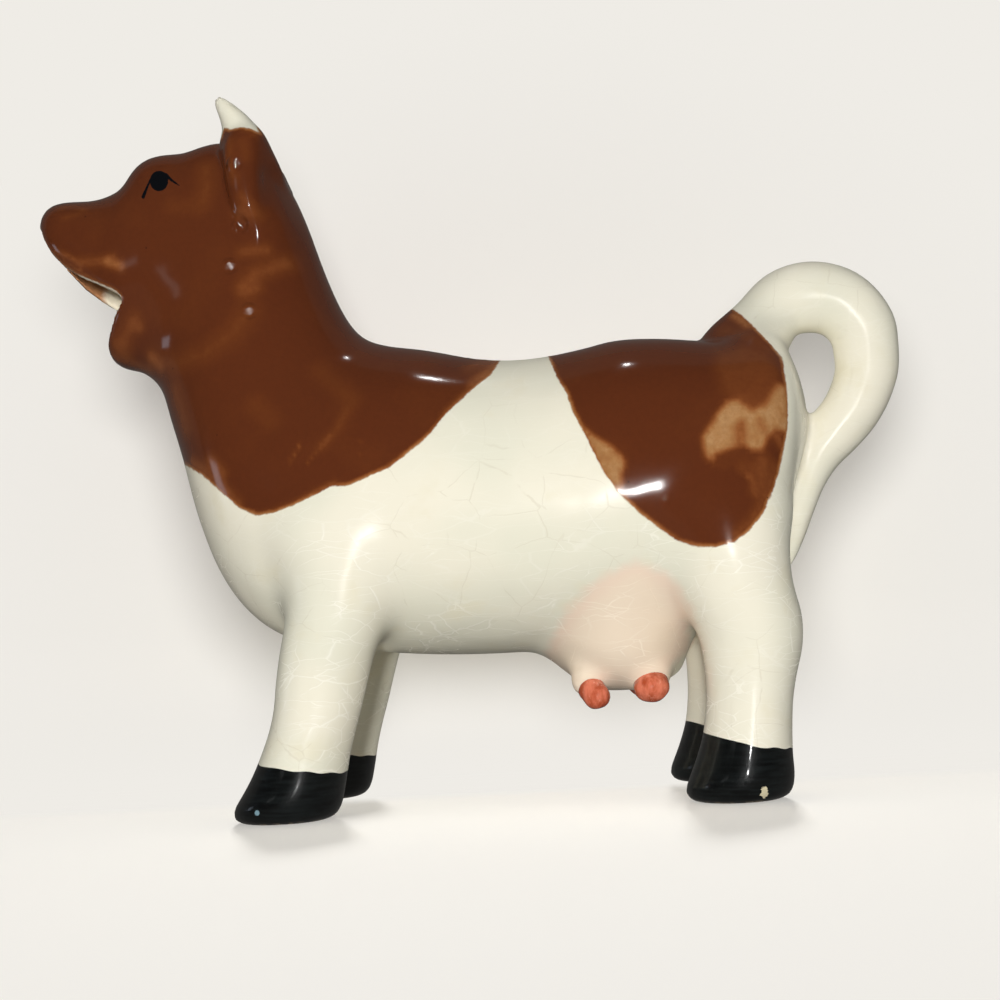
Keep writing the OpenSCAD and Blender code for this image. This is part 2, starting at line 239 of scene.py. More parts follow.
UDDER = shares(
    (-1000, 83, 117, 93), (-920, 200, 233, 233), (-670, 317, 383, 360), (-320, 423, 443, 430),
    (140, 490, 490, 477), (770, 467, 510, 512), (1460, 317, 433, 525), (1980, 83, 317, 460))
# Height, lean, spread and radius
HORN = shares(
    (0, 0, 0, 500), (200, 27, 250, 464), (400, 60, 480, 409), (530, 100, 620, 336),
    (710, 193, 800, 264), (870, 307, 920, 173), (960, 360, 980, 90), (1000, 387, 1000, 40))
# Height, front edge, rear edge and half width
EAR = shares(
    (0, 100, 100, 100), (80, 260, 240, 300), (300, 400, 320, 420), (600, 480, 340, 500),
    (820, 460, 360, 480), (950, 300, 300, 340), (1000, 100, 120, 120))
# Middle along and up, half thickness and half width
TAIL = shares(
    (-675, -17, 394, 430), (-425, 233, 394, 440), (-150, 515, 444, 480), (140, 564, 500, 500),
    (430, 454, 500, 500), (620, 184, 486, 490), (673, -75, 461, 480), (630, -193, 437, 460),
    (495, -309, 415, 440), (310, -406, 387, 410), (130, -498, 331, 370), (-5, -612, 254, 310),
    (-105, -734, 204, 250), (-190, -850, 162, 200), (-260, -953, 99, 120), (-290, -1000, 50, 60))


def level_ring(front, rear, y, half_width, z, sides=40):
    turn = np.arange(sides) * 2 * np.pi / sides
    x = (front + rear) / 2 + (rear - front) / 2 * np.cos(turn)
    return np.stack([x, y + half_width * np.sin(turn), np.full(sides, z)], 1)


def round_ring(before, place, after, half_thick, half_width, sides=40):
    way = (after - before) / np.linalg.norm(after - before)
    turn = np.arange(sides) * 2 * np.pi / sides
    off = half_thick * np.cos(turn)
    return np.stack([place[0] - way[1] * off, half_width * np.sin(turn),
                     place[1] + way[0] * off], 1)


def leg_rings(table, x, side):
    return [level_ring(x - a * shank_length, x + b * shank_length, side * leg_spacing / 2,
                       c * shank_width, z * leg_height) for z, a, b, c in smooth(table, 4)]


def udder_rings():
    return [level_ring(udder_x - a * udder_length, udder_x + b * udder_length, 0,
                       c * udder_width, belly_height + z * udder_drop)
            for z, a, b, c in smooth(UDDER, 4)]


def horn_rings(side):
    x, z = head_at(0.309, 0.820)
    y = 0.620 * head_width / 2
    return [level_ring(x - b * horn_height - d * horn_diameter,
                       x - b * horn_height + d * horn_diameter,
                       side * (y + c * (horn_spread / 2 - y)), d * horn_diameter,
                       z + a * horn_height) for a, b, c, d in smooth(HORN, 4)]


def ear_rings(side):
    x, z = head_at(0.314, 0.575)
    return [level_ring(x - b * ear_width, x + c * ear_width, side * 0.980 * head_width / 2,
                       d * ear_thick, z + a * ear_height) for a, b, c, d in smooth(EAR, 4)]


def tail_rings():
    rows = smooth(TAIL, 5)
    at = np.array([[rump_x + r[0] * tail_reach,
                    back_height + r[1] * (tail_rise if r[1] > 0 else tail_drop)] for r in rows])
    return [round_ring(at[max(i - 1, 0)], at[i], at[min(i + 1, len(at) - 1)],
                       rows[i][2] * tail_thick, rows[i][3] * tail_width)
            for i in range(len(rows))]


print("rings of the tail:", len(tail_rings()), "of a horn:", len(horn_rings(left)))

# %% [markdown]
# ## One smooth surface
# Wet clay and thick glaze leave no sharp joint where a leg meets the belly. Booleans would leave
# one, so each loft becomes a distance field, the distance from every point of a fine grid to
# the form, and the fields are joined with a soft minimum that fills each joint with a fillet.
# The milk space, the mouth and the filling hole are cut from the same field.

# %% Grid and distance fields
STEP = 0.85  # mm from one grid point to the next
REACH = 11.0  # mm, the farthest distance that a field holds
LOWEST, HIGHEST = (-91.0, -34.0, -3.0), (91.0, 34.0, 148.0)
first = np.floor(np.array(LOWEST) / STEP).astype(int)
last = np.ceil(np.array(HIGHEST) / STEP).astype(int)
grid_x, grid_y, grid_z = [np.arange(first[i], last[i] + 1, dtype=np.float32) * STEP
                          for i in range(3)]
X, Y, Z = grid_x[:, None, None], grid_y[None, :, None], grid_z[None, None, :]
lattice = openvdb.createLinearTransform(voxelSize=STEP)
print("grid:", tuple(last - first + 1))


def distance_to(rings):
    """The signed distance, in mm, from every point of the grid to a loft of rings."""
    rings = np.array(rings)
    count, sides = rings.shape[:2]
    points = np.concatenate([rings.reshape(-1, 3), rings[0].mean(0)[None],
                             rings[-1].mean(0)[None]])
    i, k = np.meshgrid(np.arange(count - 1), np.arange(sides), indexing="ij")
    a, b = i * sides + k, i * sides + (k + 1) % sides
    quads = np.stack([a, b, b + sides, a + sides], -1).reshape(-1, 4)
    k = np.arange(sides)
    ends = [np.stack([k, (k + 1) % sides, np.full(sides, count * sides)], 1),
            np.stack([k + (count - 1) * sides, (k + 1) % sides + (count - 1) * sides,
                      np.full(sides, count * sides + 1)], 1)]
    form = openvdb.FloatGrid.createLevelSetFromPolygons(
        points.astype(np.float32), triangles=np.concatenate(ends).astype(np.uint32),
        quads=quads.astype(np.uint32), transform=lattice, halfWidth=REACH / STEP)
    field = np.full(last - first + 1, REACH, np.float32)
    form.copyToArray(field, ijk=tuple(int(v) for v in first))
    return field


def soften(field, sigma):
    """A field blurred by a few tenths of a millimetre, which rounds its ridges."""
    radius = int(math.ceil(3 * sigma / STEP))
    weights = np.exp(-0.5 * (np.arange(-radius, radius + 1) * STEP / sigma) ** 2)
    weights /= weights.sum()
    for axis in range(3):
        added = [(radius, radius) if i == axis else (0, 0) for i in range(3)]
        padded = np.pad(field, added, mode="edge")
        field = sum(w * np.take(padded, np.arange(n, n + field.shape[axis]), axis)
                    for n, w in enumerate(weights)).astype(np.float32)
    return field


def join(a, b, radius):
    """A union with a fillet."""
    h = np.clip(0.5 + 0.5 * (b - a) / radius, 0, 1)
    return b + (a - b) * h - radius * h * (1 - h)


def cut(a, b, radius):
    """The form a with the form b taken away and the edge rounded."""
    return -join(-a, b, radius)


def rise(value, low, high):
    """0 below low, 1 above high and a smooth step between."""
    t = np.clip((value - low) / (high - low), 0, 1)
    return t * t * (3 - 2 * t)


def lump(x, y, z, rx, ry, rz):
    """Roughly the distance to an ellipsoid."""
    near = np.sqrt(((X - x) / rx) ** 2 + ((Y - y) / ry) ** 2 + ((Z - z) / rz) ** 2)
    return ((near - 1) * min(rx, ry, rz)).astype(np.float32)


# Root, end, half width and half height of the near teats, in mm; the far pair mirrors them
TEATS = {"front": ((20.7, 12.8, 22.9), (22.6, 14.8, 20.2), 2.65, 2.65),
         "rear": ((33.3, 12.4, 23.2), (33.2, 15.3, 21.3), 3.45, 2.90)}


def tapered(start, end, start_radius, end_radius):
    """The distance to a straight bar that tapers."""
    start, end = np.array(start, float), np.array(end, float)
    way = end - start
    dx, dy, dz = X - start[0], Y - start[1], Z - start[2]
    t = np.clip((dx * way[0] + dy * way[1] + dz * way[2]) / (way @ way), 0, 1)
    near = np.sqrt((dx - t * way[0]) ** 2 + (dy - t * way[1]) ** 2 + (dz - t * way[2]) ** 2)
    return (near - start_radius - t * (end_radius - start_radius)).astype(np.float32)


def udder_flesh():
    """The bag drawn out towards each of the four teats."""
    return np.minimum.reduce([
        tapered(((x + udder_x) / 2, side * y * 0.55, z + 6), (x, side * y, z), 6.5, half + 0.2)
        for (x, y, z), _, half, _ in TEATS.values() for side in (left, right)])


# %% Join the forms
BODY_BLUR, SKIN_BLUR = 1.3, 0.6
FRONT_LEG_FILLET, REAR_LEG_FILLET, UDDER_FILLET, TEAT_FILLET = 5.0, 6.0, 5.0, 3.0
# Swellings that the rings leave out: middle and half sizes, then the fillet
TAIL_ROOT = (58.2, 0, 87.2, 6.6, 14.0, 5.4), 3.0
BROW = (-61.8, 0, 129.2, 7.6, 10.5, 7.3), 3.0
CHIN = (-71.0, 0, 96.8, 3.7, 7.0, 3.5), 2.5
FAR_SHIFT = 0.9  # how far the far horn and ear stand ahead of the near ones

body = soften(distance_to([body_ring(row) for row in body_rows]), BODY_BLUR)
skin_field = body
for side in (left, right):
    for table, x, fillet in ((FRONT_LEG, front_leg_x, FRONT_LEG_FILLET),
                             (REAR_LEG, rear_leg_x, REAR_LEG_FILLET)):
        skin_field = join(skin_field, distance_to(leg_rings(table, x, side)), fillet)
bag = join(distance_to(udder_rings()), udder_flesh(), TEAT_FILLET)
skin_field = join(skin_field, bag, UDDER_FILLET)

# the tail's fillet is small low on the rump and wide at the root, though less so ahead of it
low_fillet, root_fillet = 2.6 * rise(Z, 67, 76), 5.5 * rise(Z, 85, 92)
tail_fillet = 1.2 + low_fillet + root_fillet * (1 - 0.55 * rise(-X, -60, -50))
skin_field = join(skin_field, lump(*TAIL_ROOT[0]), TAIL_ROOT[1])
skin_field = join(skin_field, distance_to(tail_rings()), tail_fillet)
for swelling, fillet in (BROW, CHIN):
    skin_field = join(skin_field, lump(*swelling), fillet)

# an ear stands free in front and runs into the neck behind
ear_fillet = 0.9 + 5.5 * rise(X, -43.5, -39.5)
for side, shift in ((left, 0.0), (right, FAR_SHIFT)):
    horn, ear = [np.array(rings(side)) - (shift, 0, 0) for rings in (horn_rings, ear_rings)]
    head_trim = join(distance_to(horn), distance_to(ear), 1.5 + ear_fillet / 3)
    # a bar of flesh fills the corner behind the ear
    behind_ear = tapered((-44.4 - shift, side * 11.0, 134), (-41 - shift, side * 9.6, 118),
                         3.0, 5.0)
    head_trim = join(head_trim, behind_ear, 2.5)
    skin_field = join(skin_field, head_trim, ear_fillet)
skin_field = outer_field = soften(skin_field, SKIN_BLUR)
print("joined fields, lowest", float(skin_field.min()))

# %% [markdown]
# ## The mouth, the milk space and the filling hole
# The mouth is a flat outline cut straight across the muzzle. The far lip hangs a little lower
# than the near one, so the cut is tilted. The upper muzzle is left as a thin hood.

# %% Cut the openings
MOUTH = shares(
    (704, 287), (714, 304), (732, 324), (760, 345), (797, 376), (845, 414), (897, 469), (938, 533),
    (962, 596), (979, 659), (1103, 700), (1103, -37), (838, 4), (792, 90), (780, 139), (760, 180),
    (732, 233), (708, 267))
MOUTH_TILT, NEAR_LIP, MOUTH_END = 0.12, -7, -58
FILLER_HALF_LENGTH, FILLER_HALF_WIDTH = 14, 10.5
LIP_THINNING = 1.3  # mm that the wall loses towards the mouth


def line_distance(x, z, points):
    """The distance in the side view to a line through points."""
    near = np.full(np.broadcast(x, z).shape, 1e6, np.float32)
    for (ax, az), (bx, bz) in zip(points, points[1:]):
        ex, ez = bx - ax, bz - az
        t = np.clip(((x - ax) * ex + (z - az) * ez) / (ex * ex + ez * ez + 1e-9), 0, 1)
        near = np.minimum(near, np.hypot(x - ax - t * ex, z - az - t * ez))
    return near


def outline_distance(x, z, outline):
    """The signed distance in the side view to a closed outline, negative inside it."""
    closed = outline + outline[:1]
    inside = np.zeros(np.broadcast(x, z).shape, bool)
    for (ax, az), (bx, bz) in zip(closed, closed[1:]):
        if az != bz:
            inside ^= ((az > z) != (bz > z)) & (x < (z - az) * (bx - ax) / (bz - az) + ax)
    near = line_distance(x, z, closed)
    return np.where(inside, -near, near)


milk = body + wall - LIP_THINNING * rise(-X, 66, 74)
mouth = outline_distance(X, Z + MOUTH_TILT * (Y - NEAR_LIP), [head_at(a, b) for a, b in MOUTH])
filler_x = barrel_at(0.520, 0)[0]
filler = np.hypot((X - filler_x) / FILLER_HALF_LENGTH, Y / FILLER_HALF_WIDTH) - 1
filler = np.maximum(filler * FILLER_HALF_WIDTH + 0 * Z, belly_height + barrel_depth / 2 - Z)
skin_field = cut(skin_field, milk, 0.8)
skin_field = cut(skin_field, np.where(X < MOUTH_END, mouth, REACH), 0.7)
skin_field = cut(skin_field, filler, 1.6)
print("share of the grid in the clay:", round(float((skin_field < 0).mean()), 4))

# %% Mesh of the skin
def sample(field, points):
    """The field's value at points in mm, blended between the grid's eight corners."""
    at = np.clip(points / STEP - first, 0, np.array(field.shape) - 1.001)
    base = at.astype(int)
    part = at - base
    total = 0
    for corner in range(8):
        step = np.array([corner >> 2 & 1, corner >> 1 & 1, corner & 1])
        weight = np.prod(np.where(step, part, 1 - part), 1)
        i, j, k = (base + step).T
        total = total + weight * field[i, j, k]
    return total


def surface_of(field):
    """The field's zero surface as points and quads, with each point drawn onto the surface."""
    volume = openvdb.FloatGrid(background=REACH)
    volume.transform = lattice
    volume.copyFromArray(field, ijk=tuple(int(v) for v in first))
    points, quads = volume.convertToQuads(isovalue=0.0)
    points = points.astype(float)
    slopes = np.gradient(field, STEP)
    for _ in range(3):
        value = sample(field, points)
        slope = np.stack([sample(s, points) for s in slopes], 1)
        points -= (value / np.maximum((slope**2).sum(1), 0.2))[:, None] * slope
    return points, quads[:, ::-1]


def relax(points, quads, field, rounds=4):
    """Points slide along the surface towards the middle of their neighbours."""
    links = np.concatenate([quads[:, [i, (i + 1) % 4]] for i in range(4)])
    links = np.concatenate([links, links[:, ::-1]])
    count = np.bincount(links[:, 0], minlength=len(points))[:, None]
    slopes = np.gradient(field, STEP)
    for _ in range(rounds):
        middle = np.stack([np.bincount(links[:, 0], points[links[:, 1], i], len(points))
                           for i in range(3)], 1)
        slope = np.stack([sample(s, points) for s in slopes], 1)
        slope /= np.linalg.norm(slope, axis=1, keepdims=True) + 1e-9
        move = middle / count - points
        points = points + 0.6 * (move - (move * slope).sum(1, keepdims=True) * slope)
        points = points - (sample(field, points) * 0.9)[:, None] * slope
    return points


skin_points, skin_quads = surface_of(skin_field)
skin_points = relax(skin_points, skin_quads, skin_field)
print("skin:", len(skin_points), "points,", 2 * len(skin_quads), "triangles")


def make_piece(name, points, faces):
    """A mesh object at the origin from points in mm."""
    mesh = bpy.data.meshes.new(name)
    mesh.from_pydata((np.asarray(points) * mm).tolist(), [], np.asarray(faces).tolist())
    mesh.validate()
    mesh.shade_smooth()
    return placed(name, mesh)


whole = make_piece("whole_cow", skin_points, skin_quads)

# %% Thin out the mesh of the milk space, which hardly shows
HIDDEN_DEPTH, SHARE_KEPT = 2.6, 0.75
hidden = whole.vertex_groups.new(name="milk_space")
deep = np.nonzero(sample(outer_field, skin_points) < -HIDDEN_DEPTH)[0]
hidden.add(deep.tolist(), 1.0, "REPLACE")
thinner = whole.modifiers.new("thinner", "DECIMATE")
thinner.ratio, thinner.vertex_group = SHARE_KEPT, "milk_space"
uncut_mesh = baked(whole)
bpy.data.objects.remove(whole)
near_skin = BVHTree.FromPolygons([v.co.copy() for v in uncut_mesh.vertices],
                                 [tuple(f.vertices) for f in uncut_mesh.polygons])
print("thinned:", len(uncut_mesh.polygons), "faces")

# %% [markdown]
# ## The hooves
# The feet were dipped in black up to a brushed line that slopes and kinks a little. They could be
# black paint on the skin, but as pieces of their own they can be restyled alone. The skin is
# sheared so that the line becomes level, cut there, capped and sheared back.

# %% Cut the hooves from the legs
FOOT_TOP, FRONT_END = 19, 10  # mm: what lies below is foot, what lies ahead is a front foot
# How far off the leg's middle, and how high, in mm
HOOF_LINES = {
    "front": [(-12, 11.6), (-8.5, 10.7), (-5, 10.3), (0, 9.6), (6, 8.7), (12, 8.2)],
    "rear": [(-12, 13.0), (-8.5, 12.6), (-4.5, 11.5), (-1, 10.2), (3, 9.7), (6, 9.3), (10, 8.6)]}


def hoof_line(end, co):
    """How high the black reaches on a leg."""
    offs, heights = zip(*HOOF_LINES[end])
    x, y = co.x / mm, co.y / mm
    off = x - (front_leg_x if end == "front" else rear_leg_x)
    return (np.interp(off, offs, heights) + 0.12 * math.sin(1.1 * x + 0.7 * y)) * mm


def cut_foot(bm, end, side, keep_foot):
    """Cuts one foot from the mesh along its line and caps the cut."""
    foot = [v for v in bm.verts if v.co.z < FOOT_TOP * mm and v.co.y * side > 0
            and (v.co.x < FRONT_END * mm) == (end == "front")]
    if keep_foot:
        keep = set(foot)
        bmesh.ops.delete(bm, geom=[v for v in bm.verts if v not in keep], context="VERTS")
    for v in foot:
        v.co.z -= hoof_line(end, v.co)
    faces = list({f for v in foot for f in v.link_faces})
    edges = list({e for f in faces for e in f.edges})
    made = bmesh.ops.bisect_plane(
        bm, geom=foot + edges + faces, plane_co=(0, 0, 0), plane_no=(0, 0, 1),
        clear_outer=keep_foot, clear_inner=not keep_foot)["geom_cut"]
    rim = [e for e in made if isinstance(e, bmesh.types.BMEdge)]
    on_rim = {v for v in made if isinstance(v, bmesh.types.BMVert)}
    for v in {v for v in foot if v.is_valid} | on_rim:
        v.co.z += hoof_line(end, v.co)
    cap = bmesh.ops.holes_fill(bm, edges=rim, sides=0)["faces"]
    bmesh.ops.triangulate(bm, faces=cap)
    for edge in rim:
        edge.smooth = False


def from_skin(name, feet, keep_foot):
    """The skin without the given feet, or one foot alone."""
    bm = bmesh.new()
    bm.from_mesh(uncut_mesh)
    for end, side in feet:
        cut_foot(bm, end, side, keep_foot)
    bmesh.ops.recalc_face_normals(bm, faces=bm.faces)
    mesh = bpy.data.meshes.new(name)
    bm.to_mesh(mesh)
    open_edges = sum(e.is_boundary for e in bm.edges)
    bm.free()
    mesh.shade_smooth()
    print(name, len(mesh.polygons), "faces, open edges", open_edges)
    return placed(name, mesh)


feet = [(end, side) for end in ("front", "rear") for side in (left, right)]
skin = from_skin("glazed_cow", feet, False)
hooves = {name_of(*foot, "hoof"): from_skin("dipped_" + name_of(*foot, "hoof"), [foot], True)
          for foot in feet}

# %% [markdown]
# ## The painter's outlines
# The brown patches, the blush on the bag and the cream horns were brushed on by eye, so their
# outlines are read off the picture, as a few points each. A ray from the camera sets every
# point on the near flank. There the outline becomes a line in the side view, which is
# wrapped straight across the cow, so that a patch runs over the back and down the far flank.
# Each vertex then keeps its distance in mm to the outline, and the shader finds a crisp edge
# in it. A painted texture would do the same, but it would have to be unwrapped and stored.

# %% From the picture to the side view
def on_cow(u, v):
    """The side-view place, in mm, of a point of the picture that lies on the cow."""
    way = sight(u, v)
    hit = near_skin.ray_cast(CAMERA_AT, way)[0]
    if hit is None:
        hit = CAMERA_AT + way * (-CAMERA_AT.y / way.y)
    return hit.x / mm, hit.z / mm


def traced(*outline):
    """Picture points as side-view places."""
    return [on_cow(u, v) for u, v in outline]


vertex_at = np.empty(3 * len(skin.data.vertices), np.float32)
skin.data.vertices.foreach_get("co", vertex_at)
vertex_at = vertex_at.reshape(-1, 3).astype(float) / mm
far_hand = rise(vertex_at[:, 1], -8, 14)
side_x = vertex_at[:, 0] + far_hand * 1.7 * np.sin(vertex_at[:, 2] / 9 + 0.6)
side_z = vertex_at[:, 2] + far_hand * 1.5 * np.sin(vertex_at[:, 0] / 11 + 1.1)


def from_outline(outline):
    """Each vertex's distance to an outline."""
    return outline_distance(side_x, side_z, outline)


def keep(name, values):
    """Stores a number with each vertex of the skin, for the shader."""
    layer = skin.data.attributes.new(name, "FLOAT", "POINT")
    layer.data.foreach_set("value", np.asarray(values, np.float32))
    print(name, round(float(np.min(values)), 1), "to", round(float(np.max(values)), 1))


# %% Brown patches, horns and blush
SHOULDER = traced(
    (150, 452), (189.5, 467), (202, 475), (223, 494), (240, 509), (257, 516), (274, 513),
    (295, 505), (320, 492), (330.5, 486), (347, 486), (367, 478), (388, 468), (408, 453),
    (427, 438), (441, 420), (455, 405), (474, 389), (491, 375), (508, 359), (514, 350), (514, 20),
    (-60, 20), (-60, 452))
RUMP = traced(
    (544, 350), (548.5, 358), (556, 376), (566, 393), (573, 412), (585, 435), (594.5, 454),
    (604, 473.5), (617, 491), (640, 514), (659, 528.5), (678, 541.5), (697, 547), (715.5, 547),
    (734, 543), (748.5, 532), (763, 513), (772, 494), (779, 473), (783, 454), (787.5, 428),
    (788, 405), (786, 381), (782, 357), (774.5, 348), (763, 336), (751, 324), (741.5, 315),
    (733, 310), (700, 290), (544, 290))
HORNS = traced(
    (221, 139), (216, 137.5), (208, 120), (200, 80), (215, 70), (250, 85), (262, 110), (263, 126),
    (258, 132), (251, 128.5), (241, 127), (232, 129), (224, 128), (222, 134))
BLUSH = traced(
    (545, 640), (561, 612), (584, 586), (609, 567), (637, 556), (668, 569), (685, 586), (696, 607),
    (698, 628), (690, 650), (675, 668), (668, 730), (600, 740), (560, 690), (538, 664))
HORN_MIDDLE = 7.0  # mm to each side of the middle plane where nothing is a horn
horn_edge = np.maximum(from_outline(HORNS), HORN_MIDDLE - abs(vertex_at[:, 1]))
brown_edge = np.minimum(from_outline(SHOULDER), from_outline(RUMP))
keep("brown_edge", np.maximum(brown_edge, -horn_edge))
keep("blush_edge", from_outline(BLUSH))
keep("depth", -sample(outer_field, vertex_at))
lip = sample(mouth + 0 * skin_field, vertex_at)
keep("lip", np.where(vertex_at[:, 0] < MOUTH_END + 2, lip, 12))

# %% [markdown]
# ## Where the brown is thin
# Brown slip covers unevenly. Where the brush carried little, the cream body warms it to amber
# and tan. Those places are laid over each other as strokes, each with how thin the slip is and
# how softly it ends. Noise alone would give no such placed, brushed look.

# %% Thin places, from thick (0) to bare (1)
def stroke(thin, shape, amount, soft, reach=0.0):
    """One brushed place: an outline, or a line with a reach to its sides, in picture points."""
    if reach:
        near = line_distance(side_x, side_z, traced(*shape)) - reach
    else:
        near = from_outline(traced(*shape))
    cover = 1 - rise(near, -soft, soft)
    return thin + (amount - thin) * cover


STROKES = [
    # rump: middle brown, tan band, dark spots and the thin left edge
    ([(716, 350), (745, 345), (772, 352), (781, 372), (783, 400), (772, 412), (755, 412),
      (735, 405), (722, 392), (714, 370)], 0.24, 1.8, 0),
    ([(703, 447), (702, 436), (710, 424), (718, 412), (727, 401), (738, 400), (752, 410),
      (766, 404), (772, 392), (778, 384), (786, 386), (790, 420), (787, 434), (776, 430),
      (768, 438), (763, 450), (752, 452), (744, 446), (734, 450), (722, 455), (714, 463),
      (706, 458)], 0.88, 1.0, 0),
    ([(741, 424), (740, 440)], 0.50, 1.2, 0.9), ([(760, 420), (764, 428)], 0.62, 1.0, 0.8),
    ([(722, 461), (740, 456), (756, 462)], 0.10, 1.0, 1.6),
    ([(744, 468), (752, 470)], 0.22, 1.0, 1.4),
    ([(749, 477), (754, 484), (756, 492)], 0.52, 0.8, 0.5),
    ([(777, 436), (783, 448)], 0.34, 0.8, 0.9),
    ([(776, 468), (768, 492), (752, 522), (735, 536)], 0.36, 1.4, 0.9),
    ([(764, 462), (758, 490)], 0.30, 1.4, 1.6),
    ([(566, 400), (573, 410), (582, 425), (596, 436), (611, 445), (622, 455), (626, 464),
      (622, 474), (624, 484), (620, 494), (612, 486), (602, 472), (592, 452),
      (582, 430)], 0.80, 0.8, 0),
    ([(552, 366), (560, 386), (571, 408)], 0.40, 0.6, 0.15),
    ([(622, 496), (645, 517), (675, 539)], 0.25, 0.7, 0.2),
    ([(734, 316), (741, 320), (748, 326)], 0.66, 1.1, 1.0),
    ([(724, 330), (750, 336), (768, 350)], 0.20, 1.4, 1.4),
    # shoulder: thin edges and the two small wiped streaks
    ([(506, 358), (492, 372), (478, 384)], 0.58, 1.4, 1.9),
    ([(478, 384), (462, 398), (446, 414)], 0.42, 0.9, 0.8),
    ([(470, 368), (486, 362), (498, 360)], 0.30, 1.6, 1.4),
    ([(440, 424), (430, 436), (410, 452), (390, 467)], 0.22, 0.6, 0.25),
    ([(276, 512), (296, 504), (318, 492), (333, 485)], 0.62, 1.1, 0.5),
    ([(258, 514), (276, 511)], 0.34, 0.7, 0.4),
    ([(192, 462), (204, 470), (222, 486), (238, 504)], 0.40, 1.3, 1.0),
    ([(210, 460), (222, 474)], 0.36, 1.4, 1.2),
    ([(300, 444), (295, 455), (290, 463)], 0.44, 0.5, 0.18),
    ([(350, 404), (338, 428), (322, 446)], 0.22, 1.2, 0.8),
    ([(330, 436), (318, 450), (307, 463)], 0.34, 0.6, 0.2),
    ([(360, 440), (364, 448), (358, 461)], 0.24, 0.25, 0.05),
    ([(320, 370), (333, 382), (352, 398)], 0.16, 2.2, 1.6),
    ([(255, 405), (270, 420)], 0.14, 2.0, 2.0),
    # neck and throat
    ([(256, 213), (240, 212)], 0.30, 1.8, 1.4), ([(243, 252), (266, 250)], 0.34, 1.8, 0.9),
    ([(245, 286), (256, 274), (286, 264)], 0.38, 2.4, 1.4),
    ([(244, 292), (256, 288)], 0.34, 2.0, 1.1),
    ([(248, 312), (232, 334), (204, 354), (176, 364), (156, 362)], 0.27, 3.2, 1.6),
    ([(152, 358), (160, 366)], 0.44, 1.3, 1.1), ([(175, 390), (186, 430)], 0.24, 1.6, 1.5),
    # head: behind the eye, chin and upper lip
    ([(206, 168), (207, 186), (202, 202)], 0.25, 2.4, 1.5),
    ([(172, 206), (198, 207)], 0.16, 2.2, 1.2),
    ([(136, 320), (128, 334), (122, 350)], 0.27, 2.0, 1.3),
    ([(133, 324), (140, 328)], 0.36, 1.2, 0.8), ([(118, 345), (126, 356)], 0.27, 1.6, 1.2),
    ([(112, 356), (130, 362), (150, 370)], 0.30, 0.8, 0.7),
    ([(56, 252), (68, 256), (80, 264)], 0.36, 0.7, 0.6),
    ([(82, 262), (96, 262), (112, 258)], 0.34, 1.2, 0.9),
    ([(108, 262), (120, 266)], 0.62, 1.1, 1.0),
    ([(64, 262), (84, 274), (104, 286)], 0.46, 0.4, 0.2),
    ([(60, 208), (74, 206), (84, 210)], 0.22, 0.9, 0.6), ([(64, 218), (78, 214)], 0.18, 0.8, 0.5),
    # ear
    ([(230, 140), (229, 160), (234, 178)], 0.28, 1.6, 0.7),
    ([(243, 142), (246, 156)], 0.18, 1.2, 1.0),
    ([(228, 130), (244, 130), (258, 138)], 0.30, 0.5, 0.3),
    ([(242, 196), (250, 205)], 0.26, 1.2, 1.0)]

thin = np.zeros(len(side_x))
for shape, amount, soft, reach in STROKES:
    thin = stroke(thin, shape, amount, soft, reach)
keep("thin", thin)
print("strokes:", len(STROKES))

# %% [markdown]
# ## Finishes
# One small class wraps a shader socket, so that the sums which mix the colours can be written
# as plain arithmetic. All patterns read Object coordinates in mm, so they have their real size.

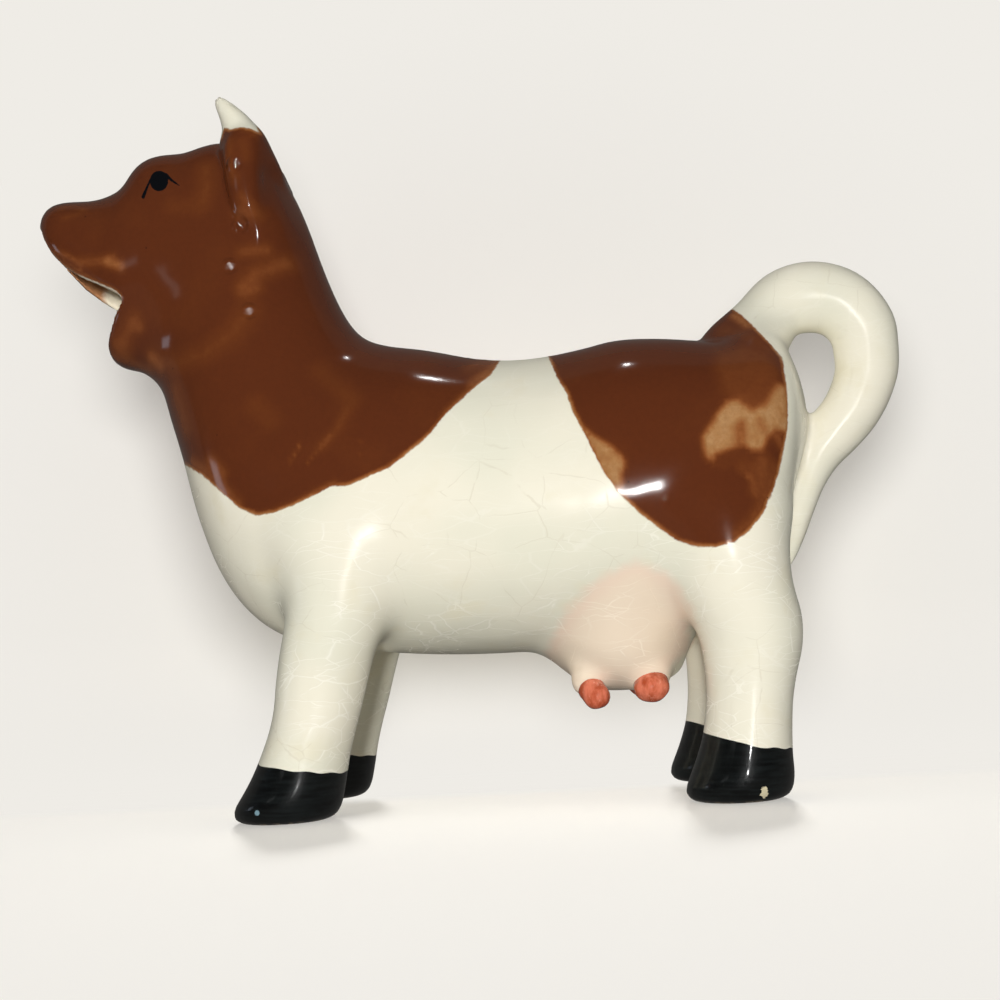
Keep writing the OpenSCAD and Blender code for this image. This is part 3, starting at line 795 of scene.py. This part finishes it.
# %% Arithmetic on shader sockets
class Value:
    """A shader socket that can be reckoned with: an expression on values adds its Math nodes."""

    def __init__(self, tree, socket):
        self.tree, self.socket = tree, socket

    def node(self, kind, settings=None, links=None, out=0, **named):
        """Any node: its type (a shader node if it says no more), its settings, and the values
        or links of its sockets, by number, or by name with _ for a space."""
        made = self.tree.nodes.new(kind if "Node" in kind else "ShaderNode" + kind)
        for key, value in (settings or {}).items():
            if key == "stops":
                ramp = made.color_ramp
                while len(ramp.elements) < len(value):
                    ramp.elements.new(1.0)
                for stop, (at, colour) in zip(ramp.elements, value):
                    stop.position, stop.color = at, colour
            else:
                setattr(made, key, value)
        sockets = {key.replace("_", " "): value for key, value in named.items()}
        for key, value in ((links or {}) | sockets).items():
            if isinstance(value, Value):
                self.tree.links.new(value.socket, made.inputs[key])
            else:
                made.inputs[key].default_value = value
        return Value(self.tree, made.outputs[out])

    def math(self, operation, *values):
        return self.node("Math", {"operation": operation}, dict(enumerate(values)))

    def __add__(self, other): return self.math("ADD", self, other)
    def __radd__(self, other): return self.math("ADD", other, self)
    def __sub__(self, other): return self.math("SUBTRACT", self, other)
    def __rsub__(self, other): return self.math("SUBTRACT", other, self)
    def __mul__(self, other): return self.math("MULTIPLY", self, other)
    def __rmul__(self, other): return self.math("MULTIPLY", other, self)
    def __truediv__(self, other): return self.math("DIVIDE", self, other)
    def __neg__(self): return self.math("MULTIPLY", self, -1.0)
    def __abs__(self): return self.math("ABSOLUTE", self)
    def __pow__(self, other): return self.math("POWER", self, other)
    def least(self, other): return self.math("MINIMUM", self, other)
    def most(self, other): return self.math("MAXIMUM", self, other)
    def clamped(self): return self.most(0.0).least(1.0)
    def fall(self, low, high): return self.rise(low, high, 1.0, 0.0)

    def rise(self, low, high, start=0.0, end=1.0):
        """start below low, end above high and a smooth step between."""
        return self.node("MapRange", {"interpolation_type": "SMOOTHSTEP"}, Value=self,
                         From_Min=low, From_Max=high, To_Min=start, To_Max=end)

    def tint(self, low, high):
        """A colour between two colours, by this value."""
        return self.node("Mix", {"data_type": "RGBA"}, {0: self, 6: low, 7: high}, out=2)

    def shade(self, low, high):
        """A shader between two shaders, by this value."""
        return self.node("MixShader", links={0: self, 1: low, 2: high})


def size_of(a, b):
    """How long a step of a along and b up is."""
    return (a ** 2.0 + b ** 2.0) ** 0.5


def colour(r, g, b):
    """A colour as it looks on the screen, 0 to 255, turned into the light it stands for."""
    shares = [c / 255 for c in (r, g, b)]
    return tuple(c / 12.92 if c <= 10 / 255 else ((c + 0.055) / 1.055) ** 2.4
                 for c in shares) + (1,)


def finish(name, **constants):
    """A material with a Principled shader: its tree's first value and its shader node."""
    material = bpy.data.materials.new(name)
    material.use_nodes = True
    shader = material.node_tree.nodes["Principled BSDF"]
    for key, value in constants.items():
        shader.inputs[key.replace("_", " ")].default_value = value
    return material, Value(material.node_tree, None), shader


def feed(shader, socket, value):
    value.tree.links.new(value.socket, shader.inputs[socket])


def emboss(shader, relief, depth, strength=1.0):
    """Feeds a relief that is depth mm deep to a shader's normal."""
    feed(shader, "Normal", relief.node(
        "Bump", Strength=strength, Distance=depth * mm, Height=relief))


def in_mm(tools, stretch=(1, 1, 1)):
    """The place on the cow in mm, and how far along, across and up it is."""
    at = tools.node("TexCoord", out="Object")
    at = at.node("VectorMath", {"operation": "MULTIPLY"}, {
        0: at, 1: [1000 * s for s in stretch]})
    return at, [at.node("SeparateXYZ", links={0: at}, out=i) for i in range(3)]


def noise(at, size, detail=2.0, roughness=0.5, distortion=0.0):
    """Noise between about 0.2 and 0.8 whose lumps are size mm wide."""
    return at.node("TexNoise", Vector=at, Scale=1 / size, Detail=detail,
                   Roughness=roughness, Distortion=distortion)


# %% [markdown]
# ## The glazed skin
# From below: buff clay that shows nowhere, cream glaze, brown slip with thin places, a peach
# blush on the bag, the painted eyes, and a clear gloss that has crazed into a fine net of cracks.

# %% Glazed skin
glaze, tools, glaze_shader = finish("glazed_earthenware", Roughness=0.1, IOR=1.5)
at, (along, sideways, up) = in_mm(tools)


def painted(name):
    return tools.node("Attribute", {"attribute_name": name}, out="Fac")


# cream body: slow drift between a greenish, a plain and a warm cream
cream = noise(at, 28).rise(0.35, 0.65).tint(colour(231, 228, 208), colour(240, 234, 214))
cream = (noise(at, 9, 3).rise(0.55, 0.75) * 0.5).tint(cream, colour(232, 224, 196))

# the crazing: long fine cracks in two directions, painted as pale lines that are partly the
# cracks' own lighter tone and partly painted glints along them
bent = at.node("VectorMath", {"operation": "MULTIPLY_ADD"}, {
    0: at.node("TexNoise", Vector=at, Scale=0.16, Detail=3.0, out="Color"),
    1: (2.2, 2.2, 2.2), 2: at})


def cracks(turn, length, gap, width):
    """Fine lines: the edges of cells that are longer than they are high."""
    laid = bent.node("Mapping", Vector=bent, Rotation=(0.3, math.radians(turn), 0.5),
                     Scale=(gap / length, 0.6, 1.0))
    edge = laid.node("TexVoronoi", {"feature": "DISTANCE_TO_EDGE"},
                     Vector=laid, Scale=1 / gap, Randomness=1.0)
    return (edge * gap).fall(0.0, width)


patchy = noise(at, 16, 2).rise(0.40, 0.62)
broken = noise(at, 4, 2).rise(0.38, 0.55)
more_below = up.rise(42.0, 66.0, 1.0, 0.35)
pale_cracks_and_glints = cracks(-16, 20, 3.8, 0.10).most(cracks(24, 18, 5.2, 0.10) * broken)
pale_cracks_and_glints = pale_cracks_and_glints.most(cracks(64, 13, 4.4, 0.09) * broken)
pale_cracks_and_glints = pale_cracks_and_glints * (0.35 + 0.65 * patchy) * more_below
dark_net = cracks(20, 11, 9.0, 0.12) * (1.0 - patchy) * broken
# pale crack lines over the cream: the cracks' own tone, partly painted glints
cream = (pale_cracks_and_glints * 0.38).tint(cream, colour(251, 248, 236))
cream = (dark_net * 0.26).tint(cream, colour(178, 164, 132))
net = pale_cracks_and_glints.most(dark_net)

# blush on the bag: pink at its brushed edge, peach inside
blush_edge = painted("blush_edge") + (noise(at, 3.2, 3) - 0.5) * 2.2
blush = (-blush_edge).rise(-0.6, 2.4)
pink = (-blush_edge).rise(0.2, 5.5).tint(colour(240, 214, 192), colour(240, 220, 196))
# the same pale crack lines over the blush, partly painted glints
pink = (pale_cracks_and_glints * 0.5).tint(pink, colour(250, 236, 216))
body_colour = (blush * 0.92).tint(cream, pink)
print("nodes so far:", len(glaze.node_tree.nodes))

# %% Brown slip
brushed = noise(at, 2.4, 4, 0.6)
wander = (noise(at, 1.1, 3) - 0.5) * 0.5 + (noise(at, 6.0) - 0.5) * 0.5
brown_edge = painted("brown_edge") + wander
slip = (-brown_edge).rise(-0.18, 0.22)
thinness = painted("thin") + (brushed - 0.5) * 0.34 * painted("thin").rise(0.0, 0.5)
thinness = thinness + (noise(at, 13, 3) - 0.5).most(0.0) * 0.35
edge_wear = (-brown_edge).fall(0.0, 1.2) * noise(at, 7, 2).rise(0.2, 0.6, 0.45, 1.0)
lip_wear = painted("lip").rise(-0.2, 0.9, 0.8, 0.0)
thinness = thinness.most(edge_wear * 0.85).most(lip_wear).clamped()
slip_colour = thinness.node("ValToRGB", {"stops": [
    (0.0, colour(93, 45, 22)), (0.18, colour(104, 53, 24)), (0.38, colour(126, 69, 34)),
    (0.62, colour(150, 92, 50)), (0.85, colour(168, 120, 74)),
    (1.0, colour(186, 144, 98))]}, {0: thinness})
mottle = noise(at, 1.0, 3, 0.7).rise(0.3, 0.7)
slip_colour = (mottle * 0.14).tint(slip_colour, colour(70, 34, 18))
specks = at.node("TexVoronoi", Vector=at, Scale=1 / 5.5, Randomness=1.0)
slip_colour = ((specks * 5.5).fall(0.14, 0.26) * 0.6).tint(slip_colour, colour(48, 26, 16))
body_colour = slip.tint(body_colour, slip_colour)

# the milk space is cream, and the far lip inside the open mouth is amber up to its pale corner;
# the amber and the corner are painted lighter, as painted light against the shade inside the mouth
lip_depth = along.rise(-62.0, -58.0, 0.35, 1.2)
inside = (painted("depth") - lip_depth + (noise(at, 2.0) - 0.5) * 0.3).rise(-0.15, 0.25)
# painted light: the mouth's corner is painted lighter than the cream glaze elsewhere
painted_light_corner = (along + (noise(at, 1.5) - 0.5) * 1.5).rise(-78.6, -76.9)
mouth_paint_and_light = painted_light_corner.tint(colour(186, 130, 88), colour(255, 244, 218))
mouth_paint_and_light = along.rise(-64.0, -58.0).tint(mouth_paint_and_light, colour(232, 216, 184))
body_colour = inside.tint(body_colour, mouth_paint_and_light)
print("nodes so far:", len(glaze.node_tree.nodes))

# %% [markdown]
# ### The painted eye
# The eye is a black disc with a lash drawn down in front and a short one behind. It is
# reckoned from exact distances in the shader, because it is finer than the mesh. It is drawn in
# the picture's own steps, counted from the middle of the eye.

# %% Eye
EYE_AT = 159, 180.7
# Each stroke of the lashes: start, end, and how thick it is at both
LASHES = [((-8.5, -1.0), (-11.5, 5.5), 1.2, 1.1), ((-11.5, 5.5), (-16.0, 16.0), 1.1, 1.8),
          ((6.5, -6.0), (13.0, 0.0), 2.0, 1.2), ((13.0, 0.0), (20.0, 4.6), 1.2, 0.5)]
eye_x, eye_z = on_cow(*EYE_AT)
back, low = [(np.array(on_cow(EYE_AT[0] + i, EYE_AT[1] + k)) - (eye_x, eye_z)) / 8
             for i, k in ((8, 0), (0, 8))]
spin = np.linalg.inv(np.stack([back, low], 1))
across_eye, down_eye = [(along - eye_x) * float(row[0]) + (up - eye_z) * float(row[1])
                        for row in spin]
print("eye at", round(eye_x, 1), round(eye_z, 1), "mm, in steps of", back.round(3), low.round(3))


def lash(start, end, thick_start, thick_end):
    """How deep inside a tapered stroke a place is, in fifths of a millimetre."""
    (au, av), (bu, bv) = start, end
    eu, ev = bu - au, bv - av
    t = (((across_eye - au) * eu + (down_eye - av) * ev) / (eu * eu + ev * ev)).clamped()
    off = size_of(across_eye - au - t * eu, down_eye - av - t * ev)
    return thick_start + t * (thick_end - thick_start) - off


eye = 9.2 - size_of(across_eye, down_eye * 0.88)
for mark in LASHES:
    eye = eye.most(lash(*mark))
eye = (eye + (noise(at, 0.8) - 0.5) * 0.5).rise(-0.25, 0.35) * abs(sideways).rise(4.0, 4.5)
body_colour = (eye * (1.0 - inside)).tint(body_colour, colour(9, 11, 15))
feed(glaze_shader, "Base Color", body_colour)

# %% Gloss and relief of the skin
net = net * (1.0 - slip * 0.9)
feed(glaze_shader, "Roughness", 0.22 - slip * 0.13 + noise(at, 5, 3) * 0.05 + net * 0.04)
GLAZE_RELIEF = 0.6  # mm
# Small dents in the glaze of the neck and the ear: picture point, and the slope along and up
# that catches the lamp
DENTS = [(230, 266, -0.14, 0.30), (240, 225, -0.40, 0.03), (249, 311, -0.08, 0.33),
         (234, 164, -0.38, 0.14)]
relief = noise(at, 11, 1) * 0.5 + noise(at, 3.0, 2) * 0.02 + net * 0.012 + slip * 0.02 + eye * 0.02
for u, v, slope_x, slope_z in DENTS:
    dent_x, dent_z = on_cow(u, v)
    near_dent = size_of(along - dent_x, up - dent_z).fall(0.8, 2.0)
    slant = (along - dent_x) * (slope_x / GLAZE_RELIEF) + (up - dent_z) * (slope_z / GLAZE_RELIEF)
    relief = relief + slant * near_dent * sideways.fall(-2.0, 0.0)
emboss(glaze_shader, relief, GLAZE_RELIEF)
print("nodes of the skin's glaze:", len(glaze.node_tree.nodes))

# %% [markdown]
# ## Black hooves and terracotta teats
# The black is thicker and less even than the gloss glaze: its brush streaks catch the light as
# bands of sheen. One hoof has lost a chip that shows the pale clay, and a small bluish spot on
# another is a painted highlight.

# %% Black hooves
black, tools, black_shader = finish(
    "black_hoof_glaze", Roughness=0.3, Coat_Weight=0.45, Coat_Roughness=0.1, IOR=1.4)
at, (along, sideways, up) = in_mm(tools)
streaked, _ = in_mm(tools, (0.22, 0.22, 2.2))
streaks = noise(streaked, 1.6, 4, 0.6)
hoof_colour = streaks.rise(0.35, 0.7).tint(colour(6, 7, 7), colour(20, 24, 24))
near_side = sideways.fall(-15.0, -14.0)
chip_x, chip_z = on_cow(764.5, 792)
chip = size_of((along - chip_x) / 0.75, (up - chip_z) / 1.15) + (noise(at, 0.7, 3) - 0.5) * 1.6
chip = chip.fall(0.85, 1.0) * near_side
hoof_colour = chip.tint(hoof_colour, colour(214, 202, 168))
# a painted highlight: a small bluish spot on the near front hoof, painted into the colour
hoof_glint_x, hoof_glint_z = on_cow(257, 813)
hoof_glint = size_of(along - hoof_glint_x, up - hoof_glint_z).fall(0.35, 0.6) * near_side
hoof_colour = hoof_glint.tint(hoof_colour, colour(120, 150, 160))
worn = up.fall(0.05, 0.6) * noise(at, 1.2, 3).rise(0.5, 0.62)
hoof_colour = worn.tint(hoof_colour, colour(168, 148, 116))
feed(black_shader, "Base Color", hoof_colour)
feed(black_shader, "Roughness", 0.2 + streaks * 0.3)
emboss(black_shader, streaks * 0.05 + noise(at, 5, 2) * 0.2 - chip * 0.15, 0.7)
print("nodes of the black:", len(black.node_tree.nodes))

# %% Terracotta teats
terracotta, tools, teat_shader = finish(
    "terracotta_teat_glaze", Roughness=0.2, Coat_Weight=0.5, Coat_Roughness=0.06, IOR=1.5)
at, _ = in_mm(tools)
daubed, _ = in_mm(tools, (1.0, 1.0, 0.45))
daub = noise(daubed, 1.7, 3, 0.6).rise(0.35, 0.68)
teat_colour = daub.tint(colour(182, 78, 46), colour(222, 122, 92))
flecks = noise(daubed, 0.7, 4, 0.7).rise(0.56, 0.7)
teat_colour = (flecks * 0.45).tint(teat_colour, colour(240, 178, 148))
feed(teat_shader, "Base Color", teat_colour)
emboss(teat_shader, noise(at, 1.4, 3), 0.2, 0.6)
print("nodes of the terracotta:", len(terracotta.node_tree.nodes))

# %% [markdown]
# ## The four teats
# Four small nubs were rolled from a thread of clay, pressed on and painted. One shape repeats
# with its own sizes, so one tree of Geometry Nodes makes it: an oval ring runs along a line
# from inside the bag to the tip, swells at its root and closes in a dome. A scaled sphere would
# not lean and taper like a rolled nub.

# %% Tree of a teat
def rolled_teat(material):
    """The tree that rolls one teat, and the identifiers of its named inputs."""
    tree = bpy.data.node_groups.new("rolled_teat", "GeometryNodeTree")
    inputs = {name: tree.interface.new_socket(
        name, in_out="INPUT", socket_type="NodeSocket" + kind).identifier
        for name, kind in (("Root", "Vector"), ("Tip", "Vector"), ("Half width", "Float"),
                           ("Half height", "Float"), ("Seed", "Float"), ("Rings", "Int"),
                           ("Sides", "Int"))}
    tree.interface.new_socket("Teat", in_out="OUTPUT", socket_type="NodeSocketGeometry")
    tools = Value(tree, None)
    given = {name: tools.node("NodeGroupInput", out=name) for name in inputs}
    line = tools.node("GeometryNodeCurvePrimitiveLine", Start=given["Root"], End=given["Tip"])
    length = tools.node("GeometryNodeCurveLength", Curve=line)
    line = tools.node("GeometryNodeResampleCurve", Curve=line, Count=given["Rings"])
    share = tools.node("GeometryNodeSplineParameter", out="Factor")
    height = given["Half height"]
    dome = ((share * length - length + height) / height).clamped()
    swell = share.rise(-0.1, 0.45, 0.3, 1.0) * (1.0 - dome ** 2.0) ** 0.5
    ring = tools.node("GeometryNodeCurvePrimitiveCircle", Resolution=given["Sides"], Radius=1.0)
    oval = tools.node("CombineXYZ", X=given["Half width"], Y=height, Z=1.0)
    ring = tools.node("GeometryNodeTransform", Geometry=ring, Scale=oval)
    nub = tools.node(
        "GeometryNodeCurveToMesh", Curve=line, Profile_Curve=ring, Scale=swell, Fill_Caps=True)
    nub = tools.node("GeometryNodeMergeByDistance", Geometry=nub, Distance=0.03 * mm)
    uneven = tools.node("TexNoise", {"noise_dimensions": "4D"}, Scale=420.0, Detail=1.0,
                        W=given["Seed"], out="Color")
    push = tools.node("VectorMath", {"operation": "MULTIPLY_ADD"}, {
        0: uneven, 1: (0.5 * mm,) * 3, 2: (-0.25 * mm,) * 3})
    nub = tools.node("GeometryNodeSetPosition", Geometry=nub, Offset=push)
    nub = tools.node("GeometryNodeSetShadeSmooth", Geometry=nub)
    nub = tools.node("GeometryNodeRealizeInstances", Geometry=nub)
    nub = tools.node("GeometryNodeSetMaterial", Geometry=nub, Material=material)
    tree.links.new(nub.socket, tree.nodes.new("NodeGroupOutput").inputs["Teat"])
    print("nodes of the tree:", len(tree.nodes))
    return tree, inputs


# %% Teats
TEAT_RINGS, TEAT_SIDES = 36, 28
teat_tree, teat_inputs = rolled_teat(terracotta)


def teat(name, root, end, half_width, half_height, side, seed):
    """A teat baked from the tree to a plain mesh."""
    root, end = [Vector((x, side * y, z)) * mm for x, y, z in (root, end)]
    way = (end - root).normalized()
    piece = placed(name, bpy.data.meshes.new(name + "_start"))
    rolled = piece.modifiers.new("rolled", "NODES")
    rolled.node_group = teat_tree
    for key, value in (("Root", root - way * half_height / 2 * mm),
                       ("Tip", end + way * half_height * mm),
                       ("Half width", half_width * mm), ("Half height", half_height * mm),
                       ("Seed", float(seed)), ("Rings", TEAT_RINGS), ("Sides", TEAT_SIDES)):
        rolled[teat_inputs[key]] = value
    mesh = baked(piece)
    piece.modifiers.remove(rolled)
    piece.data = mesh
    mesh.name = name
    lowest = min(v.co.z for v in mesh.vertices) / mm
    print(name, len(mesh.polygons), "faces, z from", round(lowest, 1))
    return piece


teats = {}
for seed, (end, side) in enumerate(feet):
    which = name_of(end, side, "teat")
    teats[which] = teat("painted_" + which, *TEATS[end], side, seed)

# %% Finish and ride
for piece, material in ((skin, glaze), *((h, black) for h in hooves.values()),
                        *((s, terracotta) for s in teats.values())):
    if material.name not in piece.data.materials:
        piece.data.materials.append(material)
    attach(piece, "root")
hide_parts(*[n for n in frame["nodes"] if n not in hooves and n not in teats])
for node, piece in hooves.items():
    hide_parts(node)
for node, piece in teats.items():
    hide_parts(node)
print("pieces:", 1 + len(hooves) + len(teats))

# %% [markdown]
# ## The studio
# The cow stands on pale paper in front of a pale wall that curves up close behind it. One lamp
# throws the cow's soft shadow on the wall, just below the cow. Two far behind the wall, one for
# each pair of hooves, throw the hooves' shadows forward on the floor. To the camera the paper
# and the world beyond have one pale colour: what the lamps leave dark is made up by a faint
# glow of the paper itself. The wall is painted on its front only, and is clear from behind.

# %% Floor, wall and world
ROOM_LIGHT, ROOM_GLOSS = 0.46, 0.07  # the world as it lights, and as the glaze mirrors it
SHADOW_LAMP, SHADOW_LEVEL = Vector((20, -300, 78)), 0.73
FLOOR_LAMPS = Vector((-590, 2910, 760)), Vector((390, 2910, 740))
FLOOR_END, BEND, WALL_TOP, PAPER_END = 18, 40, 600, 700  # mm
WALL_AT = FLOOR_END + BEND
PAPER = colour(239, 236, 230)


def paper_sheet(name, profile, share_and_level):
    """A sheet of paper along x whose lit share is balanced by its own glow."""
    rows = [[Vector((x, y, z)) * mm for y, z in profile] for x in (-PAPER_END, PAPER_END)]
    sheet = bpy.data.meshes.new(name)
    sheet.from_pydata(rows[0] + rows[1], [], [
        (i, i + len(profile), i + len(profile) + 1, i + 1) for i in range(len(profile) - 1)])
    sheet.shade_smooth()
    made = placed(name, sheet)
    paper, tools, _ = finish(name)
    _, place = in_mm(tools)
    share, level = share_and_level(*place)
    glow = tools.node("Emission", Color=PAPER, Strength=(1.0 - share * level) / (1.0 - share))
    lit = tools.node("BsdfDiffuse", Color=PAPER)
    near = share.shade(glow, lit)
    dull = tools.node("BsdfDiffuse", Color=colour(120, 118, 114))
    gloss = tools.node("Emission", Color=PAPER, Strength=0.12)
    seen = tools.node("LightPath", out="Is Camera Ray")
    mirrored = tools.node("LightPath", out="Is Glossy Ray")
    front = seen.shade(mirrored.shade(dull, gloss), near)
    behind = tools.node("NewGeometry", out="Backfacing")
    clear = tools.node("BsdfTransparent")
    both = behind.shade(front, clear)
    feed(paper.node_tree.nodes["Material Output"], "Surface", both)
    sheet.materials.append(paper)
    print(name, "faces", tuple(round(c) for c in sheet.polygons[0].normal))
    return grouped(name + "_only", [made])


def wall_light(along, sideways, up):
    """How much of the wall's colour is lit, and how bright that light is."""
    away = size_of((along - 3) / 170, (up - 50) / 150)
    off_axis = (along - SHADOW_LAMP.x) ** 2.0 + (up - SHADOW_LAMP.z) ** 2.0
    off_axis = off_axis / (WALL_AT - SHADOW_LAMP.y) ** 2
    return (away.rise(0.5, 1.0, 0.8, 0.0) * up.rise(2.0, 36.0),
            0.5 * ROOM_LIGHT + SHADOW_LEVEL * (off_axis + 1.0) ** -2.0)


def floor_light(along, sideways, up):
    """The same for the floor."""
    away = size_of((along - 3) / 190, (sideways + 20) / 190)
    near = [((at.x - along) / at.length) ** 2.0 + ((at.y - sideways) / at.length) ** 2.0
            + (at.z / at.length) ** 2 for at in FLOOR_LAMPS]
    return (away.rise(0.5, 1.0, 0.95, 0.0) * sideways.fall(0.0, 17.0),
            0.35 * ROOM_LIGHT + SHADOW_LEVEL / 2 * (near[0] ** -1.5 + near[1] ** -1.5))


wall_profile = [(FLOOR_END + BEND * math.sin(a), BEND - BEND * math.cos(a))
                for a in np.radians(np.arange(0, 91, 6))] + [(WALL_AT, WALL_TOP)]
wall_only = paper_sheet("pale_wall", wall_profile, wall_light)
floor_only = paper_sheet("pale_floor", [(-PAPER_END, 0), (FLOOR_END, 0)], floor_light)

world = bpy.data.worlds.new("studio")
world.use_nodes = True
bpy.context.scene.world = world
tools = Value(world.node_tree, None)
seen = tools.node("LightPath", out="Is Camera Ray")
mirrored = tools.node("LightPath", out="Is Glossy Ray")
room = tools.node(
    "Background", Color=colour(188, 188, 188),
    Strength=mirrored.rise(0.0, 1.0, ROOM_LIGHT, ROOM_GLOSS))
pale = tools.node("Background", Color=PAPER, Strength=1.0)
feed(world.node_tree.nodes["World Output"], "Surface", seen.shade(room, pale))

# %% [markdown]
# ## Lamps
# A broad soft lamp far behind the camera and a flash close behind it model the form, and three
# lamps behind the cow light its edges. The lamps without a diffuse part show in the gloss only:
# two small ones give the glaze its sharp sparks, and two dim windows its wide pale bands. All
# of these light the cow only, so that the paper keeps its own soft shadows.

# %% Lamps
cow_pieces = grouped("cow_pieces", (skin, *hooves.values(), *teats.values()))
hoof_pairs = {end: grouped(end + "_hooves", [hooves[name_of(end, side, "hoof")]
                                             for side in (left, right)])
              for end in ("front", "rear")}


def lamp(name, place, power, width, height=None, tone=(1, 1, 1), lights=cow_pieces,
         gloss=True, diffuse=True, shadow_of=cow_pieces):
    """A flat lamp that faces the cow: a disc, or a rectangle if it has a height."""
    light = bpy.data.lights.new(name, "AREA")
    light.energy, light.color = power, tone
    light.shape = "RECTANGLE" if height else "DISK"
    light.size = width * mm
    if height:
        light.size_y = height * mm
    holder = placed(name, light)
    holder.location = Vector(place) * mm
    towards_cow = Vector((0, 0, 65)) - Vector(place)
    holder.rotation_euler = towards_cow.to_track_quat("-Z", "Y").to_euler()
    holder.visible_glossy, holder.visible_diffuse = gloss, diffuse
    holder.light_linking.receiver_collection = lights
    holder.light_linking.blocker_collection = shadow_of


# The power that gives the paper the level that its own glow is balanced with
wall_power = SHADOW_LEVEL * (math.pi * (WALL_AT - SHADOW_LAMP.y) / 1000) ** 2
lamp("wall_lamp", SHADOW_LAMP, wall_power, 100, lights=wall_only, gloss=False)
for at, (end, pair) in zip(FLOOR_LAMPS, hoof_pairs.items()):
    floor_power = SHADOW_LEVEL / 2 * (math.pi * at.length / 1000) ** 2 * at.length / at.z
    lamp(end + "_floor_lamp", at, floor_power, 420, lights=floor_only, gloss=False,
         shadow_of=pair)
lamp("flash", (2, -600, 52), 2.6, 46, gloss=False)
lamp("broad_soft", (-300, -2000, 200), 5.0, 900, gloss=False)
lamp("back_left", (-620, 1050, 120), 8.0, 300, gloss=False)
lamp("back_right", (620, 1050, 120), 6.0, 300, gloss=False)
lamp("back_top", (0, 700, 800), 4.0, 300, gloss=False)
lamp("rump_glint", (88, -627, 88), 0.4, 18, diffuse=False)
lamp("window", (-430, -470, 170), 0.014, 170, 40, diffuse=False)
lamp("far_window", (-420, -60, 75), 0.02, 70, 50, (0.75, 0.85, 1.0), diffuse=False)
lamp("ceiling", (40, 60, 700), 0.06, 16, diffuse=False)
bpy.context.scene.view_settings.view_transform = "Standard"
print("lamps:", len(bpy.data.lights))
